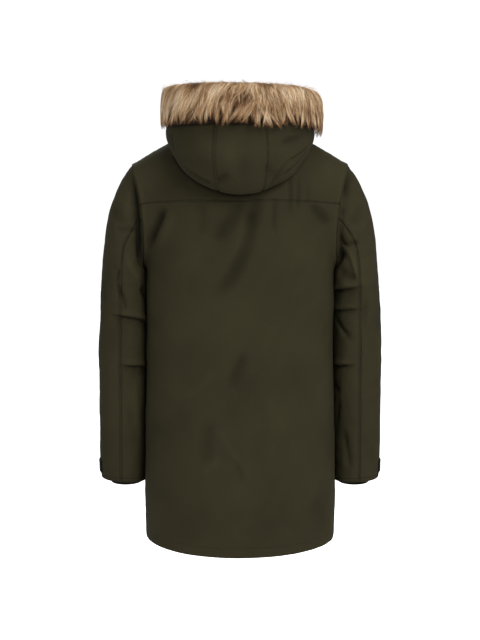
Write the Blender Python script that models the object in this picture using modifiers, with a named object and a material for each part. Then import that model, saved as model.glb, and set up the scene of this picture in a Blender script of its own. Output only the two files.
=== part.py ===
"""Fur trimmed parka, filled out as if worn, with its hood down on the back.

Metres, +Z up. The front of the garment faces -Y, its back +Y, and +X is the
wearer's left. The origin is the middle of the neck base, at shoulder height.
Each piece of cloth is a wall lofted through sections of the garment: an outer
grid of points, and an inner grid one wall thickness inside it. Pieces that are
sewn together share the points of their seam, each drawn back by half a gap.
"""

import math

import bmesh
import bpy
import numpy as np
from mathutils import Matrix, Vector
from mathutils.bvhtree import BVHTree

# ---- Cloth ----
WALL = 0.004  # shell, padding and lining, quilted together
RIB_WALL = 0.003
SEAM_GAP = 0.0003
SEAT_GAP = 0.0003  # under a piece that lies on another
HOOD_CLEARANCE = 0.0030  # between the laid down hood and the shoulders under it

# ---- Body ----
SHOULDER_TIP_X = 0.232
SHOULDER_TIP_Z = -0.036
ARMPIT_X = 0.2025
ARMPIT_Z = -0.257
HEM_SIDE_Z = -0.835
BACK_HEM_DROP = 0.014
ARMHOLE_DEPTH = {"back": 0.075, "front": 0.070}
YOKE_SEAM_ANGLE = 105.0  # round the armhole, from the armpit
ARMHOLE_STEP = 15.0
SHOULDER_SLOPE = {"back": 0.15, "front": 0.35}  # of the cloth as it comes up to the seam
BACK_CENTRE_LIFT = 0.011  # the yoke seam runs higher at the centre back
SHOULDER_TURN = 46.0  # how far the rows have turned where they reach the armhole
EDGE_HOLD = 1.5  # how quickly the rows leave the armhole's own depth
FULL_OVAL = 0.84  # power of the body's oval section

BODY_COLUMNS = ("height", "half_width", "back", "front")
BODY_SECTIONS = (
    (-0.835, 0.2050, 0.163, 0.158),
    (-0.780, 0.2065, 0.161, 0.157),
    (-0.680, 0.2055, 0.157, 0.154),
    (-0.560, 0.2030, 0.151, 0.151),
    (-0.450, 0.2015, 0.147, 0.149),
    (-0.350, 0.2008, 0.147, 0.147),
    (-0.290, 0.2000, 0.149, 0.146),
    (-0.257, 0.2000, 0.150, 0.145),
    (-0.190, 0.2015, 0.150, 0.142),
    (-0.118, 0.2050, 0.1435, 0.133),
)
# rows of the panels, as parts of the way from the hem up to the armpit
LOWER_ROWS = (0, 0.10, 0.20, 0.31, 0.43, 0.55, 0.67, 0.78, 0.87, 0.95, 1.0)
NECK_STATION = 0.42  # where the neck point lies, from the centre to the armhole
ACROSS = (0, 0.07, 0.14, 0.21, 0.28, 0.35, 0.42, 0.54, 0.66, 0.78, 0.90, 1.0)

# ---- Neck ----
NECK_HALF_WIDTH = 0.090
NECK_DEPTH = {"back": 0.078, "front": 0.088}
NECK_SIDE_Z = 0.041
NECK_CENTRE_Z = {"back": 0.030, "front": -0.030}

# ---- Sleeves ----
SLEEVE_COLUMNS = ("station", "inner_x", "inner_z", "outer_x", "outer_z", "depth", "centre_y")
SLEEVE_SECTIONS = (
    (0.0, 0.2025, -0.2570, 0.2320, -0.0360, 0.0725, 0.0025),
    (0.5, 0.2033, -0.2582, 0.2425, -0.0510, 0.0740, 0.0015),
    (1.0, 0.2040, -0.2590, 0.2525, -0.0685, 0.0755, 0.0010),
    (2.0, 0.2048, -0.2602, 0.2735, -0.1170, 0.0780, 0.0000),
    (3.0, 0.2054, -0.2625, 0.2850, -0.1650, 0.0790, -0.0010),
    (4.0, 0.2055, -0.2665, 0.2920, -0.2200, 0.0790, -0.0020),
    (5.0, 0.2050, -0.2760, 0.2962, -0.2700, 0.0780, -0.0030),
    (6.0, 0.2038, -0.3000, 0.2990, -0.3000, 0.0765, -0.0040),
    (7.0, 0.2030, -0.3450, 0.3025, -0.3450, 0.0735, -0.0055),
    (8.0, 0.2030, -0.4200, 0.3050, -0.4200, 0.0700, -0.0080),
    (9.0, 0.2033, -0.5000, 0.3053, -0.5000, 0.0675, -0.0110),
    (10.0, 0.2052, -0.5900, 0.3050, -0.5900, 0.0650, -0.0160),
    (11.0, 0.2070, -0.6600, 0.3045, -0.6600, 0.0635, -0.0200),
    (12.0, 0.2080, -0.7180, 0.3030, -0.7110, 0.0620, -0.0230),
)
SLEEVE_ROWS = (
    0, 0.5, 1, 1.5, 2, 2.5, 3, 4, 5, 6, 6.35, 6.7, 7, 7.25, 7.5, 7.8, 8.1, 8.4, 8.7, 9,
    9.6, 10.3, 11, 11.2, 11.75, 12,
)  # fmt: skip
CUFF_ROW = 11  # the sleeve section that the knitted cuff is sewn to
TAB_ROWS = (11.2, 11.75)
TAB_ANGLES = (-75, -60, -45, -30, -15, 0, 15, 30)
TAB_THICKNESS = 0.0026

# ---- Knitted inner cuffs ----
CUFF_COLUMNS = ("height", "centre_x", "half_width", "depth")
CUFF_SECTIONS = (
    (-0.680, 0.2525, 0.0385, 0.0490),
    (-0.700, 0.2490, 0.0345, 0.0440),
    (-0.7240, 0.2485, 0.0335, 0.0420),
)
CUFF_CENTRE_Y = -0.022

# ---- Folds, as soft troughs in the outer face ----
# each runs from (x0, z0) to (x1, z1), seen along Y, across the back or the front of
# the body or the back of a sleeve
FOLD_COLUMNS = ("name", "where", "x0", "z0", "x1", "z1", "half_width", "depth")
FOLDS = (
    ("below hood", "back", -0.031, -0.125, 0.012, -0.225, 0.018, 0.005),
    ("left armhole", "back", 0.155, -0.122, 0.188, -0.225, 0.012, 0.005),
    ("right armhole", "back", -0.155, -0.118, -0.188, -0.225, 0.012, 0.004),
    ("left chest", "front", 0.145, -0.130, 0.180, -0.230, 0.014, 0.005),
    ("right chest", "front", -0.140, -0.135, -0.178, -0.230, 0.013, 0.004),
    ("left elbow, upper", "sleeve", 0.278, -0.363, 0.200, -0.374, 0.008, 0.0050),
    ("left elbow, lower", "sleeve", 0.266, -0.470, 0.200, -0.471, 0.008, 0.0045),
    ("right elbow, upper", "sleeve", -0.200, -0.308, -0.262, -0.306, 0.008, 0.0045),
    ("right elbow, middle", "sleeve", -0.200, -0.349, -0.266, -0.347, 0.008, 0.0050),
    ("right elbow, lower", "sleeve", -0.200, -0.466, -0.252, -0.465, 0.008, 0.0045),
)

# ---- Hood, laid down: sections through it round the neck, from the centre back ----
# stand is the height of the roll where the hood turns down over the neck seam
HOOD_COLUMNS = ("angle", "stand", "fold_r", "fold_z", "belly_r", "belly_z", "rim_r", "rim_z")
HOOD_SECTIONS = (
    (0, 0.026, 0.172, -0.104, 0.216, -0.030, 0.203, 0.046),
    (30, 0.024, 0.172, -0.080, 0.205, -0.018, 0.195, 0.046),
    (60, 0.017, 0.158, -0.022, 0.175, 0.008, 0.171, 0.045),
    (90, 0.010, 0.148, 0.020, 0.156, 0.030, 0.152, 0.045),
    (120, 0.010, 0.130, 0.001, 0.145, 0.020, 0.143, 0.040),
    (150, 0.014, 0.118, -0.022, 0.130, -0.004, 0.128, 0.020),
    (170, 0.014, 0.108, -0.030, 0.118, -0.016, 0.116, 0.000),
)
# how far each of those points is along the section, from the neck seam to the rim
HOOD_STATIONS = {"seam": 0, "stand": 0.12, "crest": 0.20, "nape": 0.40, "fold": 0.61, "belly": 0.81, "rim": 1}
CREST_OUT = 0.014  # of the roll's top, out from the neck seam
HOOD_LIFT = 0.0012  # of the hood's edge over the neck seam
NAPE = (0.55, -0.004, 0.002)  # part of the way from crest to fold, and moved in and up
HOOD_ALONG = (0, 0.07, 0.14, 0.20, 0.28, 0.38, 0.48, 0.56, 0.61, 0.66, 0.73, 0.81, 0.88, 0.94, 1.0)
HOOD_CENTRE_ANGLES = (-15, -7.5, 0, 7.5, 15)
HOOD_SIDE_ANGLES = (15, 22.5, 30, 37.5, 45, 52.5, 60, 67.5, 75, 82.5, 90, 105, 120, 135, 150, 162)

# ---- Fur: its section on the hood's rim, out from the rim and up along it ----
FUR_SECTION = (
    (-0.0050, 0.0004),
    (-0.0200, 0.0040),
    (-0.0330, 0.0220),
    (-0.0370, 0.0480),
    (-0.0270, 0.0740),
    (-0.0080, 0.0880),
    (0.0130, 0.0880),
    (0.0290, 0.0720),
    (0.0360, 0.0440),
    (0.0350, 0.0140),
    (0.0270, -0.0100),
    (0.0140, -0.0180),
    (0.0022, -0.0130),
    (0.0010, 0.0004),
)
FUR_SIZE_COLUMNS = ("angle", "outward", "inward", "upward")
FUR_SIZES = (
    (0, 1.0, 1.0, 1.0),
    (40, 0.9, 1.0, 1.0),
    (70, 0.62, 0.85, 1.0),
    (100, 0.62, 0.80, 0.98),
    (130, 0.8, 0.90, 0.90),
    (162, 0.75, 0.80, 0.80),
)
FUR_LUMP = 0.0035

# ---- Zip ----
ZIP_OPENING = 0.0065  # from the centre line to each front's edge
TAPE_WIDTH = 0.017
TAPE_THICKNESS = 0.0010
TAPE_DEPTH = WALL + 2 * SEAT_GAP  # of the tape's face under the shell's face
SLIDER_LEVEL = 2.62
SLIDER_SIZE = (0.0090, 0.0036, 0.0150)
BRIDGE_HEIGHT = 0.0024  # of the pull tab's hinge over the slider's face
BRIDGE_PIN_RADIUS = 0.0008
BRIDGE_HALF_SPAN = 0.0028
BRIDGE_POST = (0.0014, 0.0044, 0.0022)
BRIDGE_DROP = 0.0045  # of the bridge from the slider's top
POST_PAST_PIN = 0.0009
EYE_OUTER_RADIUS = 0.0020
EYE_INNER_RADIUS = 0.00115
EYE_WIDTH = 0.0030
TAB_NECK = (0.0030, 0.0014, 0.0050)
NECK_TOP = 0.0015  # of the tab's neck, below the hinge
TAB_PLATE = (0.0070, 0.0014, 0.0180)
PLATE_TOP = 0.0050  # of the tab's plate, below the hinge

# ---- Colours: red, green, blue (linear), roughness, metallic ----
FINISHES = {
    "shell": ((0.040, 0.036, 0.019), 0.85, 0.0),
    "fur": ((0.28, 0.17, 0.09), 0.9, 0.0),
    "rib": ((0.020, 0.019, 0.012), 0.9, 0.0),
    "cuff_tab": ((0.008, 0.008, 0.008), 0.6, 0.0),
    "zip_tape": ((0.014, 0.013, 0.009), 0.8, 0.0),
    "zip_metal": ((0.06, 0.06, 0.06), 0.4, 1.0),
}


def read(table, columns, column, at):
    """A column of a table as a smooth curve of its first column, read at `at`."""
    stations = np.array([row[0] for row in table], float)
    values = np.array([row[columns.index(column)] for row in table], float)
    slopes = np.gradient(values, stations)
    at = np.clip(np.asarray(at, float), stations[0], stations[-1])
    low = np.clip(np.searchsorted(stations, at, side="right") - 1, 0, len(stations) - 2)
    width = stations[low + 1] - stations[low]
    t = (at - stations[low]) / width
    start = values[low] * (2 * t**3 - 3 * t**2 + 1) + slopes[low] * width * (t**3 - 2 * t**2 + t)
    end = values[low + 1] * (3 * t**2 - 2 * t**3) + slopes[low + 1] * width * (t**3 - t**2)
    return start + end


def smoothstep(low, high, x):
    t = np.clip((np.asarray(x, float) - low) / (high - low), 0, 1)
    return t * t * (3 - 2 * t)


def unit(vectors):
    return vectors / np.maximum(np.linalg.norm(vectors, axis=-1, keepdims=True), 1e-12)


# ---- Body surface ----


def armhole(angle, side):
    """A point of the left armhole: angle 0 is the armpit and 180 the shoulder tip."""
    turn = np.radians(angle)
    rise = (1 - np.cos(turn)) / 2
    x = ARMPIT_X + (SHOULDER_TIP_X - ARMPIT_X) * rise**3
    z = ARMPIT_Z + (SHOULDER_TIP_Z - ARMPIT_Z) * rise
    depth = np.where(side > 0, ARMHOLE_DEPTH["back"], ARMHOLE_DEPTH["front"])
    return np.stack([x, side * depth * np.sin(turn), z], axis=-1)


def armhole_normal(angle, side):
    """The direction that the cloth faces on both sides of the left armhole seam."""
    turn = np.radians(angle)
    rise = (1 - np.cos(turn)) / 2
    return unit(np.stack([0.75 * rise**2, side * np.sin(turn), -np.cos(turn)], axis=-1))


def lower_body(across, level, side):
    """Body below the yoke seam. Level 0 is the hem, 1 the armpit and 2 the yoke seam."""
    half = np.abs(across)
    angle = YOKE_SEAM_ANGLE * np.clip(level - 1, 0, 1)
    edge = armhole(angle, side)
    edge_z = np.where(level < 1, HEM_SIDE_Z + (ARMPIT_Z - HEM_SIDE_Z) * level, edge[..., 2])
    # away from the armhole the rows rise evenly
    even_z = ARMPIT_Z + (armhole(YOKE_SEAM_ANGLE, side)[2] - ARMPIT_Z) * (level - 1)
    centre_z = np.where(level < 1, edge_z, even_z)
    row_z = edge_z + (centre_z - edge_z) * (1 - half**3)
    width = read(BODY_SECTIONS, BODY_COLUMNS, "half_width", edge_z)
    # the sides alone flare out to meet the armhole
    flare = (edge[..., 0] - width) * smoothstep(0.93, 1.0, level) * smoothstep(0.6, 1.0, half)
    edge_x = width + flare
    edge_y = np.abs(edge[..., 1])
    depth = read(BODY_SECTIONS, BODY_COLUMNS, "back" if side > 0 else "front", row_z)
    turned = smoothstep(0, 1, level - 1)
    start = np.radians(SHOULDER_TURN) * turned
    phi = start + (1 - half) * (math.pi / 2 - start)
    reach = (np.clip(np.cos(phi), 0, 1) / np.cos(start)) ** FULL_OVAL
    fullness = FULL_OVAL + (1 - FULL_OVAL) * turned
    bulge = np.clip((np.sin(phi) - np.sin(start)) / (1 - np.sin(start)), 0, 1) ** fullness
    drop = BACK_HEM_DROP * (1 - half**2) * (1 - smoothstep(0, 0.3, level))
    lift = BACK_CENTRE_LIFT * (1 - half**2) * turned
    x = np.sign(across) * edge_x * reach
    y = side * (depth * bulge + edge_y * (1 - bulge) ** EDGE_HOLD)
    z = row_z + (lift - drop if side > 0 else 0.0)
    return np.stack([x, y, z + 0 * x], axis=-1)


def body_top(across, side):
    """The shoulder seam and neckline that the yoke and the fronts end at."""
    name = "back" if side > 0 else "front"
    half = np.abs(across)
    along = np.clip((half - NECK_STATION) / (1 - NECK_STATION), 0, 1)
    round_neck = math.pi / 2 * np.clip(half / NECK_STATION, 0, 1)
    fall = 0.76 * along + 0.24 * along**2
    shoulder_x = NECK_HALF_WIDTH + (SHOULDER_TIP_X - NECK_HALF_WIDTH) * along
    shoulder_z = NECK_SIDE_Z + (SHOULDER_TIP_Z - NECK_SIDE_Z) * fall
    neck_z = NECK_CENTRE_Z[name] + (NECK_SIDE_Z - NECK_CENTRE_Z[name]) * np.sin(round_neck) ** 2
    on_neck = half <= NECK_STATION
    x = np.sign(across) * np.where(on_neck, NECK_HALF_WIDTH * np.sin(round_neck), shoulder_x)
    y = side * np.where(on_neck, NECK_DEPTH[name] * np.cos(round_neck), 0.0)
    z = np.where(on_neck, neck_z, shoulder_z)
    return np.stack([x, y, z], axis=-1)


def upper_body(across, level, side):
    """Yoke or upper front, curving over from level 2 to the shoulder seam at level 3."""
    rise = (level - 2)[..., None]
    step = 0.02
    start = lower_body(across, 2 + 0 * level, side)
    before = lower_body(across, 2 - step + 0 * level, side)
    end = body_top(across, side)
    length = np.linalg.norm(end - start, axis=-1, keepdims=True)
    on_neck = (1 - smoothstep(0, NECK_STATION, np.abs(across)))[..., None]
    slope = SHOULDER_SLOPE["back" if side > 0 else "front"]
    arrive = unit(np.array([0, -side, slope]) + on_neck * np.array([0, 0.35 * side, 0.9]))
    first = start + unit(start - before) * 0.38 * length
    second = end - arrive * 0.32 * length
    keep = 1 - rise
    curve = keep**3 * start + 3 * keep**2 * rise * first + 3 * keep * rise**2 * second + rise**3 * end
    return curve


def body(across, level, side):
    """A point of the back (side 1) or the front (side -1) of the body."""
    across, level = np.broadcast_arrays(np.asarray(across, float), np.asarray(level, float))
    low = lower_body(across, np.minimum(level, 2), side)
    high = upper_body(across, np.maximum(level, 2), side)
    # the upper curve is drawn onto the armhole as it nears it
    rim = np.sign(across)
    angle = YOKE_SEAM_ANGLE + (180 - YOKE_SEAM_ANGLE) * np.clip(level - 2, 0, 1)
    seam = armhole(angle, side) * np.stack([rim, 1 + 0 * rim, 1 + 0 * rim], axis=-1)
    at_rim = upper_body(rim, np.maximum(level, 2), side)
    pull = smoothstep(0.5, 1.0, np.abs(across))[..., None]
    high = high + pull * (seam - at_rim)
    return np.where((level > 2)[..., None], high, low)


def crease(points, normals, places):
    """The points, sunk along the folds of those places where they face that way."""
    facing = {"back": 1, "sleeve": 1, "front": -1}
    sunk = np.zeros(points.shape[:-1])
    for row in FOLDS:
        fold = dict(zip(FOLD_COLUMNS, row))
        if fold["where"] not in places:
            continue
        start = np.array([fold["x0"], fold["z0"]])
        run = np.array([fold["x1"], fold["z1"]]) - start
        flat = points[..., [0, 2]] - start
        along = np.clip((flat @ run) / (run @ run), 0, 1)
        away = np.linalg.norm(flat - along[..., None] * run, axis=-1)
        ends = 0.35 + 0.65 * np.sin(math.pi * np.clip(along, 0.1, 0.9))
        seen = smoothstep(0.0, 0.5, facing[fold["where"]] * normals[..., 1])
        sunk += seen * fold["depth"] * ends * np.exp(-((away / fold["half_width"]) ** 2))
    return points - normals * sunk[..., None]


# ---- Grids ----


def grid_normals(points, ring=False):
    """Normals of a grid of points, from its neighbours each way."""
    down = np.gradient(points, axis=0)
    if ring:
        padded = np.concatenate([points[:, -1:], points, points[:, :1]], axis=1)
        along = (padded[:, 2:] - padded[:, :-2]) / 2
    else:
        along = np.gradient(points, axis=1)
    return unit(np.cross(along, down))


def body_grids():
    """Outer points and normals of the back and the front, with their shared seams alike."""
    across = np.array([-a for a in reversed(ACROSS[1:])] + list(ACROSS))
    steps = int(YOKE_SEAM_ANGLE / ARMHOLE_STEP)
    upper_steps = int((180 - YOKE_SEAM_ANGLE) / ARMHOLE_STEP)
    levels = np.array(
        list(LOWER_ROWS)
        + [1 + (k + 1) / steps for k in range(steps)]
        + [2 + (k + 1) / upper_steps for k in range(upper_steps)]
    )
    armpit_row = len(LOWER_ROWS) - 1
    yoke_row = armpit_row + steps
    above = YOKE_SEAM_ANGLE + (levels - 2) * (180 - YOKE_SEAM_ANGLE)
    angles = np.where(levels < 2, (levels - 1) * YOKE_SEAM_ANGLE, above)
    grids = {}
    for name, side in (("back", 1), ("front", -1)):
        points = body(across[None, :], levels[:, None], side)
        normals = grid_normals(points) * -side
        points = crease(points, normals, (name,))
        normals = grid_normals(points) * -side
        seam = armhole_normal(angles[armpit_row:], side)
        normals[armpit_row:, -1] = seam
        normals[armpit_row:, 0] = seam * (-1, 1, 1)
        grids[name] = (points, normals)
    (_, back), (_, front) = grids["back"], grids["front"]
    for column in (0, -1):
        shared = unit(back[:armpit_row, column] + front[:armpit_row, column])
        back[:armpit_row, column] = shared
        front[:armpit_row, column] = shared
    shoulder = np.abs(across) >= NECK_STATION
    shared = unit(back[-1, shoulder] + front[-1, shoulder])
    back[-1, shoulder] = shared
    front[-1, shoulder] = shared
    return grids, across, levels, yoke_row


def sleeve_surface(hand, station, angle):
    """A point of a sleeve. Angle 0 is the outer side and 90 the back; hand 1 is the left."""
    station, angle = np.broadcast_arrays(np.asarray(station, float), np.asarray(angle, float))
    size = {c: read(SLEEVE_SECTIONS, SLEEVE_COLUMNS, c, station) for c in SLEEVE_COLUMNS[1:]}
    turn = np.radians(angle)
    squareness = 1 - 0.16 * smoothstep(0, 5, station)
    wide = np.sign(np.cos(turn)) * np.abs(np.cos(turn)) ** squareness
    deep = np.sign(np.sin(turn)) * np.abs(np.sin(turn)) ** squareness
    x = (size["inner_x"] + size["outer_x"]) / 2 + (size["outer_x"] - size["inner_x"]) / 2 * wide
    z = (size["inner_z"] + size["outer_z"]) / 2 + (size["outer_z"] - size["inner_z"]) / 2 * wide
    y = size["centre_y"] + size["depth"] * deep
    points = np.stack([x, y, z], axis=-1)
    # the first section is the armhole itself, and the next ones follow it less and less
    side = np.where(np.sin(turn) >= 0, 1.0, -1.0)
    seam = armhole(180 - np.abs(angle), side)
    head = {c: read(SLEEVE_SECTIONS, SLEEVE_COLUMNS, c, 0.0) for c in SLEEVE_COLUMNS[1:]}
    flat = np.stack(
        [
            (head["inner_x"] + head["outer_x"]) / 2 + (head["outer_x"] - head["inner_x"]) / 2 * np.cos(turn),
            head["centre_y"] + head["depth"] * np.sin(turn),
            (head["inner_z"] + head["outer_z"]) / 2 + (head["outer_z"] - head["inner_z"]) / 2 * np.cos(turn),
        ],
        axis=-1,
    )
    points = points + (1 - smoothstep(0, 3, station))[..., None] * (seam - flat)
    return points * np.array([hand, 1, 1])


def sleeve_grid(hand):
    """Outer points and normals of a whole sleeve, a ring of columns from angle -180."""
    angles = np.arange(-180, 180, ARMHOLE_STEP)
    rows = np.array(SLEEVE_ROWS, float)
    points = sleeve_surface(hand, rows[:, None], angles[None, :])
    normals = grid_normals(points, ring=True) * -hand
    points = crease(points, normals, ("sleeve",))
    normals = grid_normals(points, ring=True) * -hand
    side = np.where(angles >= 0, 1.0, -1.0)
    normals[0] = armhole_normal(180 - np.abs(angles), side) * np.array([hand, 1, 1])
    return points, normals, angles, rows


def neck_seam(angle):
    """The point of the neckline at that angle from the centre back; positive is left."""
    turn = np.radians(angle)
    back = np.abs(angle) <= 90
    depth = np.where(back, NECK_DEPTH["back"], NECK_DEPTH["front"])
    centre_z = np.where(back, NECK_CENTRE_Z["back"], NECK_CENTRE_Z["front"])
    z = centre_z + (NECK_SIDE_Z - centre_z) * np.sin(turn) ** 2
    return np.stack([NECK_HALF_WIDTH * np.sin(turn), depth * np.cos(turn), z], axis=-1)


def hood_surface(angle, along):
    """A point of the hood, from the neck seam at along 0 to the rim at along 1."""
    angle, along = np.broadcast_arrays(np.asarray(angle, float), np.asarray(along, float))
    size = {c: read(HOOD_SECTIONS, HOOD_COLUMNS, c, np.abs(angle)) for c in HOOD_COLUMNS[1:]}
    seam = neck_seam(angle)
    neck_r = np.hypot(seam[..., 0], seam[..., 1])
    neck_z = seam[..., 2] + HOOD_LIFT
    crest_r = neck_r + CREST_OUT
    crest_z = neck_z + size["stand"]
    part, nape_in, nape_up = NAPE
    nape_r = crest_r + (size["fold_r"] - crest_r) * part + nape_in
    nape_z = crest_z + (size["fold_z"] - crest_z) * part + nape_up
    radii = [neck_r, neck_r + 0.07 * CREST_OUT, crest_r, nape_r]
    heights = [neck_z, neck_z + 0.7 * size["stand"], crest_z, nape_z]
    for place in ("fold", "belly", "rim"):
        radii.append(size[f"{place}_r"])
        heights.append(size[f"{place}_z"])
    stations = np.array(list(HOOD_STATIONS.values()), float)
    radius = through(stations, np.stack(radii), along)
    z = through(stations, np.stack(heights), along)
    turn = np.radians(angle)
    # near the neck seam the direction follows the neckline's own oval
    bearing = np.arctan2(seam[..., 0], seam[..., 1])
    spread = smoothstep(HOOD_STATIONS["crest"], HOOD_STATIONS["fold"], along)
    bearing = bearing + (turn - bearing) * spread
    return np.stack([radius * np.sin(bearing), radius * np.cos(bearing), z], axis=-1)


def through(stations, values, at):
    """Smooth curve through rows of values, one row for each station, read at `at`."""
    slopes = np.gradient(values, stations, axis=0)
    low = np.clip(np.searchsorted(stations, at, side="right") - 1, 0, len(stations) - 2)
    width = stations[low + 1] - stations[low]
    t = (at - stations[low]) / width

    def pick(rows, index):
        return np.take_along_axis(rows, index[None], axis=0)[0]

    start = pick(values, low) * (2 * t**3 - 3 * t**2 + 1)
    end = pick(values, low + 1) * (3 * t**2 - 2 * t**3)
    leave = pick(slopes, low) * width * (t**3 - 2 * t**2 + t)
    arrive = pick(slopes, low + 1) * width * (t**3 - t**2)
    return start + end + leave + arrive


def tree_of(grids):
    """A search tree of grids of points, with its triangles facing out."""
    points, faces = [], []
    for grid, flip in grids:
        rows, columns = grid.shape[:2]
        base = len(points)
        points += [Vector(p) for p in grid.reshape(-1, 3)]
        for r in range(rows - 1):
            for c in range(columns - 1):
                a = base + r * columns + c
                quad = [a, a + 1, a + columns + 1, a + columns]
                faces.append(quad if not flip else quad[::-1])
    return BVHTree.FromPolygons(points, faces)


def clear_of(points, tree, clearance, reach=0.04):
    """The points within reach, each moved to at least that clearance from the surface."""
    flat = points.reshape(-1, 3).copy()
    for _ in range(3):
        for i, p in enumerate(flat):
            near, normal, _, _ = tree.find_nearest(Vector(p))
            height = (Vector(p) - near).dot(normal)
            if height < clearance and (Vector(p) - near).length < reach:
                flat[i] = p + np.array(normal) * (clearance - height)
    return flat.reshape(points.shape)


# ---- Solids from grids ----


def material_of(finish):
    """The named finish as a material, made once."""
    material = bpy.data.materials.get(finish)
    if material is None:
        colour, roughness, metallic = FINISHES[finish]
        material = bpy.data.materials.new(finish)
        material.use_nodes = True
        shader = material.node_tree.nodes["Principled BSDF"]
        shader.inputs["Base Color"].default_value = (*colour, 1)
        shader.inputs["Roughness"].default_value = roughness
        shader.inputs["Metallic"].default_value = metallic
    return material


def finish_object(name, mesh, finish, parts):
    mesh.materials.append(material_of(finish))
    obj = bpy.data.objects.new(name, mesh)
    parts.objects.link(obj)
    return obj


def face_out(mesh):
    """Turns a closed mesh's faces outwards."""
    work = bmesh.new()
    work.from_mesh(mesh)
    bmesh.ops.recalc_face_normals(work, faces=work.faces)
    work.to_mesh(mesh)
    work.free()


def draw_back(grid, edges):
    """The grid with the named edges moved half a seam gap towards its own inside."""
    grid = grid.copy()
    gap = SEAM_GAP / 2
    if "bottom" in edges:
        grid[0] += gap * unit(grid[1] - grid[0])
    if "top" in edges:
        grid[-1] += gap * unit(grid[-2] - grid[-1])
    if "start" in edges:
        grid[:, 0] += gap * unit(grid[:, 1] - grid[:, 0])
    if "end" in edges:
        grid[:, -1] += gap * unit(grid[:, -2] - grid[:, -1])
    return grid


def cloth_panel(name, points, normals, edges, finish, parts, wall=WALL):
    """A wall between the outer points and their copy one wall inside them."""
    outer = draw_back(points, edges)
    inner = draw_back(points - normals * wall, edges)
    rows, columns = outer.shape[:2]
    count = rows * columns
    vertices = np.concatenate([outer.reshape(-1, 3), inner.reshape(-1, 3)])
    index = np.arange(count).reshape(rows, columns)
    faces = []
    for r in range(rows - 1):
        for c in range(columns - 1):
            quad = [index[r, c], index[r, c + 1], index[r + 1, c + 1], index[r + 1, c]]
            faces.append(quad)
            faces.append([q + count for q in reversed(quad)])
    border = list(index[0, :]) + list(index[1:, -1])
    border += list(index[-1, -2::-1]) + list(index[-2:0:-1, 0])
    for a, b in zip(border, border[1:] + border[:1]):
        # two pieces that share a seam split its wall along the same diagonal
        if tuple(np.round(vertices[a], 3)) < tuple(np.round(vertices[b], 3)):
            faces += [[b, a, b + count], [a, a + count, b + count]]
        else:
            faces += [[b, a, a + count], [b, a + count, b + count]]
    mesh = bpy.data.meshes.new(name)
    mesh.from_pydata(vertices.tolist(), [], [[int(i) for i in f] for f in faces])
    face_out(mesh)
    return finish_object(name, mesh, finish, parts)


def ring_loft(name, loops, closed, finish, parts):
    """A solid through closed loops of points, itself a ring, or capped at its two ends."""
    count, size = loops.shape[:2]
    index = np.arange(count * size).reshape(count, size)
    faces = []
    for i in range(count if closed else count - 1):
        for j in range(size):
            after, beside = (i + 1) % count, (j + 1) % size
            faces.append([index[i, j], index[i, beside], index[after, beside], index[after, j]])
    if not closed:
        faces.append(list(index[0, ::-1]))
        faces.append(list(index[-1]))
    mesh = bpy.data.meshes.new(name)
    mesh.from_pydata(loops.reshape(-1, 3).tolist(), [], [[int(i) for i in f] for f in faces])
    face_out(mesh)
    return finish_object(name, mesh, finish, parts)


# ---- Pieces ----


def make_body(parts):
    grids, across, levels, yoke_row = body_grids()
    back, back_normals = grids["back"]
    front, front_normals = grids["front"]
    low, high = slice(0, yoke_row + 1), slice(yoke_row, None)
    cloth_panel("back_panel", back[low], back_normals[low], ("top", "start", "end"), "shell", parts)
    cloth_panel(
        "back_yoke", back[high], back_normals[high], ("bottom", "top", "start", "end"), "shell", parts
    )
    centre = len(ACROSS) - 1
    for name, columns, sewn in (
        ("front_right", slice(0, centre + 1), "start"),
        ("front_left", slice(centre, None), "end"),
    ):
        points = front[:, columns].copy()
        edge = -1 if sewn == "start" else 0
        points[:, edge, 0] = -ZIP_OPENING if sewn == "start" else ZIP_OPENING
        cloth_panel(name, points, front_normals[:, columns], ("top", sewn), "shell", parts)
    return grids, levels


def make_zip_tapes(grids, parts):
    points, normals = grids["front"]
    centre = len(ACROSS) - 1
    rows = slice(0, -1)
    middle = points[rows, centre]
    outward = normals[rows, centre]
    beside = points[rows, centre + 1]
    reach = unit(beside - middle) * TAPE_WIDTH
    for name, hand in (("zip_tape_left", 1), ("zip_tape_right", -1)):
        mirror = np.array([hand, 1, 1])
        inner_edge = middle - outward * TAPE_DEPTH + np.array([hand * SEAM_GAP / 2, 0, 0])
        outer_edge = middle + reach * mirror - outward * TAPE_DEPTH
        sheet = np.stack([inner_edge, (inner_edge + outer_edge) / 2, outer_edge], axis=1)
        across = np.repeat(outward[:, None], 3, axis=1)
        cloth_panel(name, sheet, across, (), "zip_tape", parts, wall=TAPE_THICKNESS)


def make_sleeve(hand, parts):
    side = "left" if hand > 0 else "right"
    points, normals, angles, rows = sleeve_grid(hand)
    half = int(90 / ARMHOLE_STEP)
    first = len(angles) // 2 - half
    outer = np.arange(first, first + 2 * half + 1)
    under = np.arange(first + 2 * half, first + 4 * half + 1) % len(angles)
    for name, columns in (("outer", outer), ("under", under)):
        cloth_panel(
            f"sleeve_{side}_{name}",
            points[:, columns],
            normals[:, columns],
            ("bottom", "start", "end"),
            "shell",
            parts,
        )
    make_rib_cuff(side, hand, points, normals, angles, rows, parts)
    make_cuff_tab(side, points, normals, angles, rows, parts)


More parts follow.
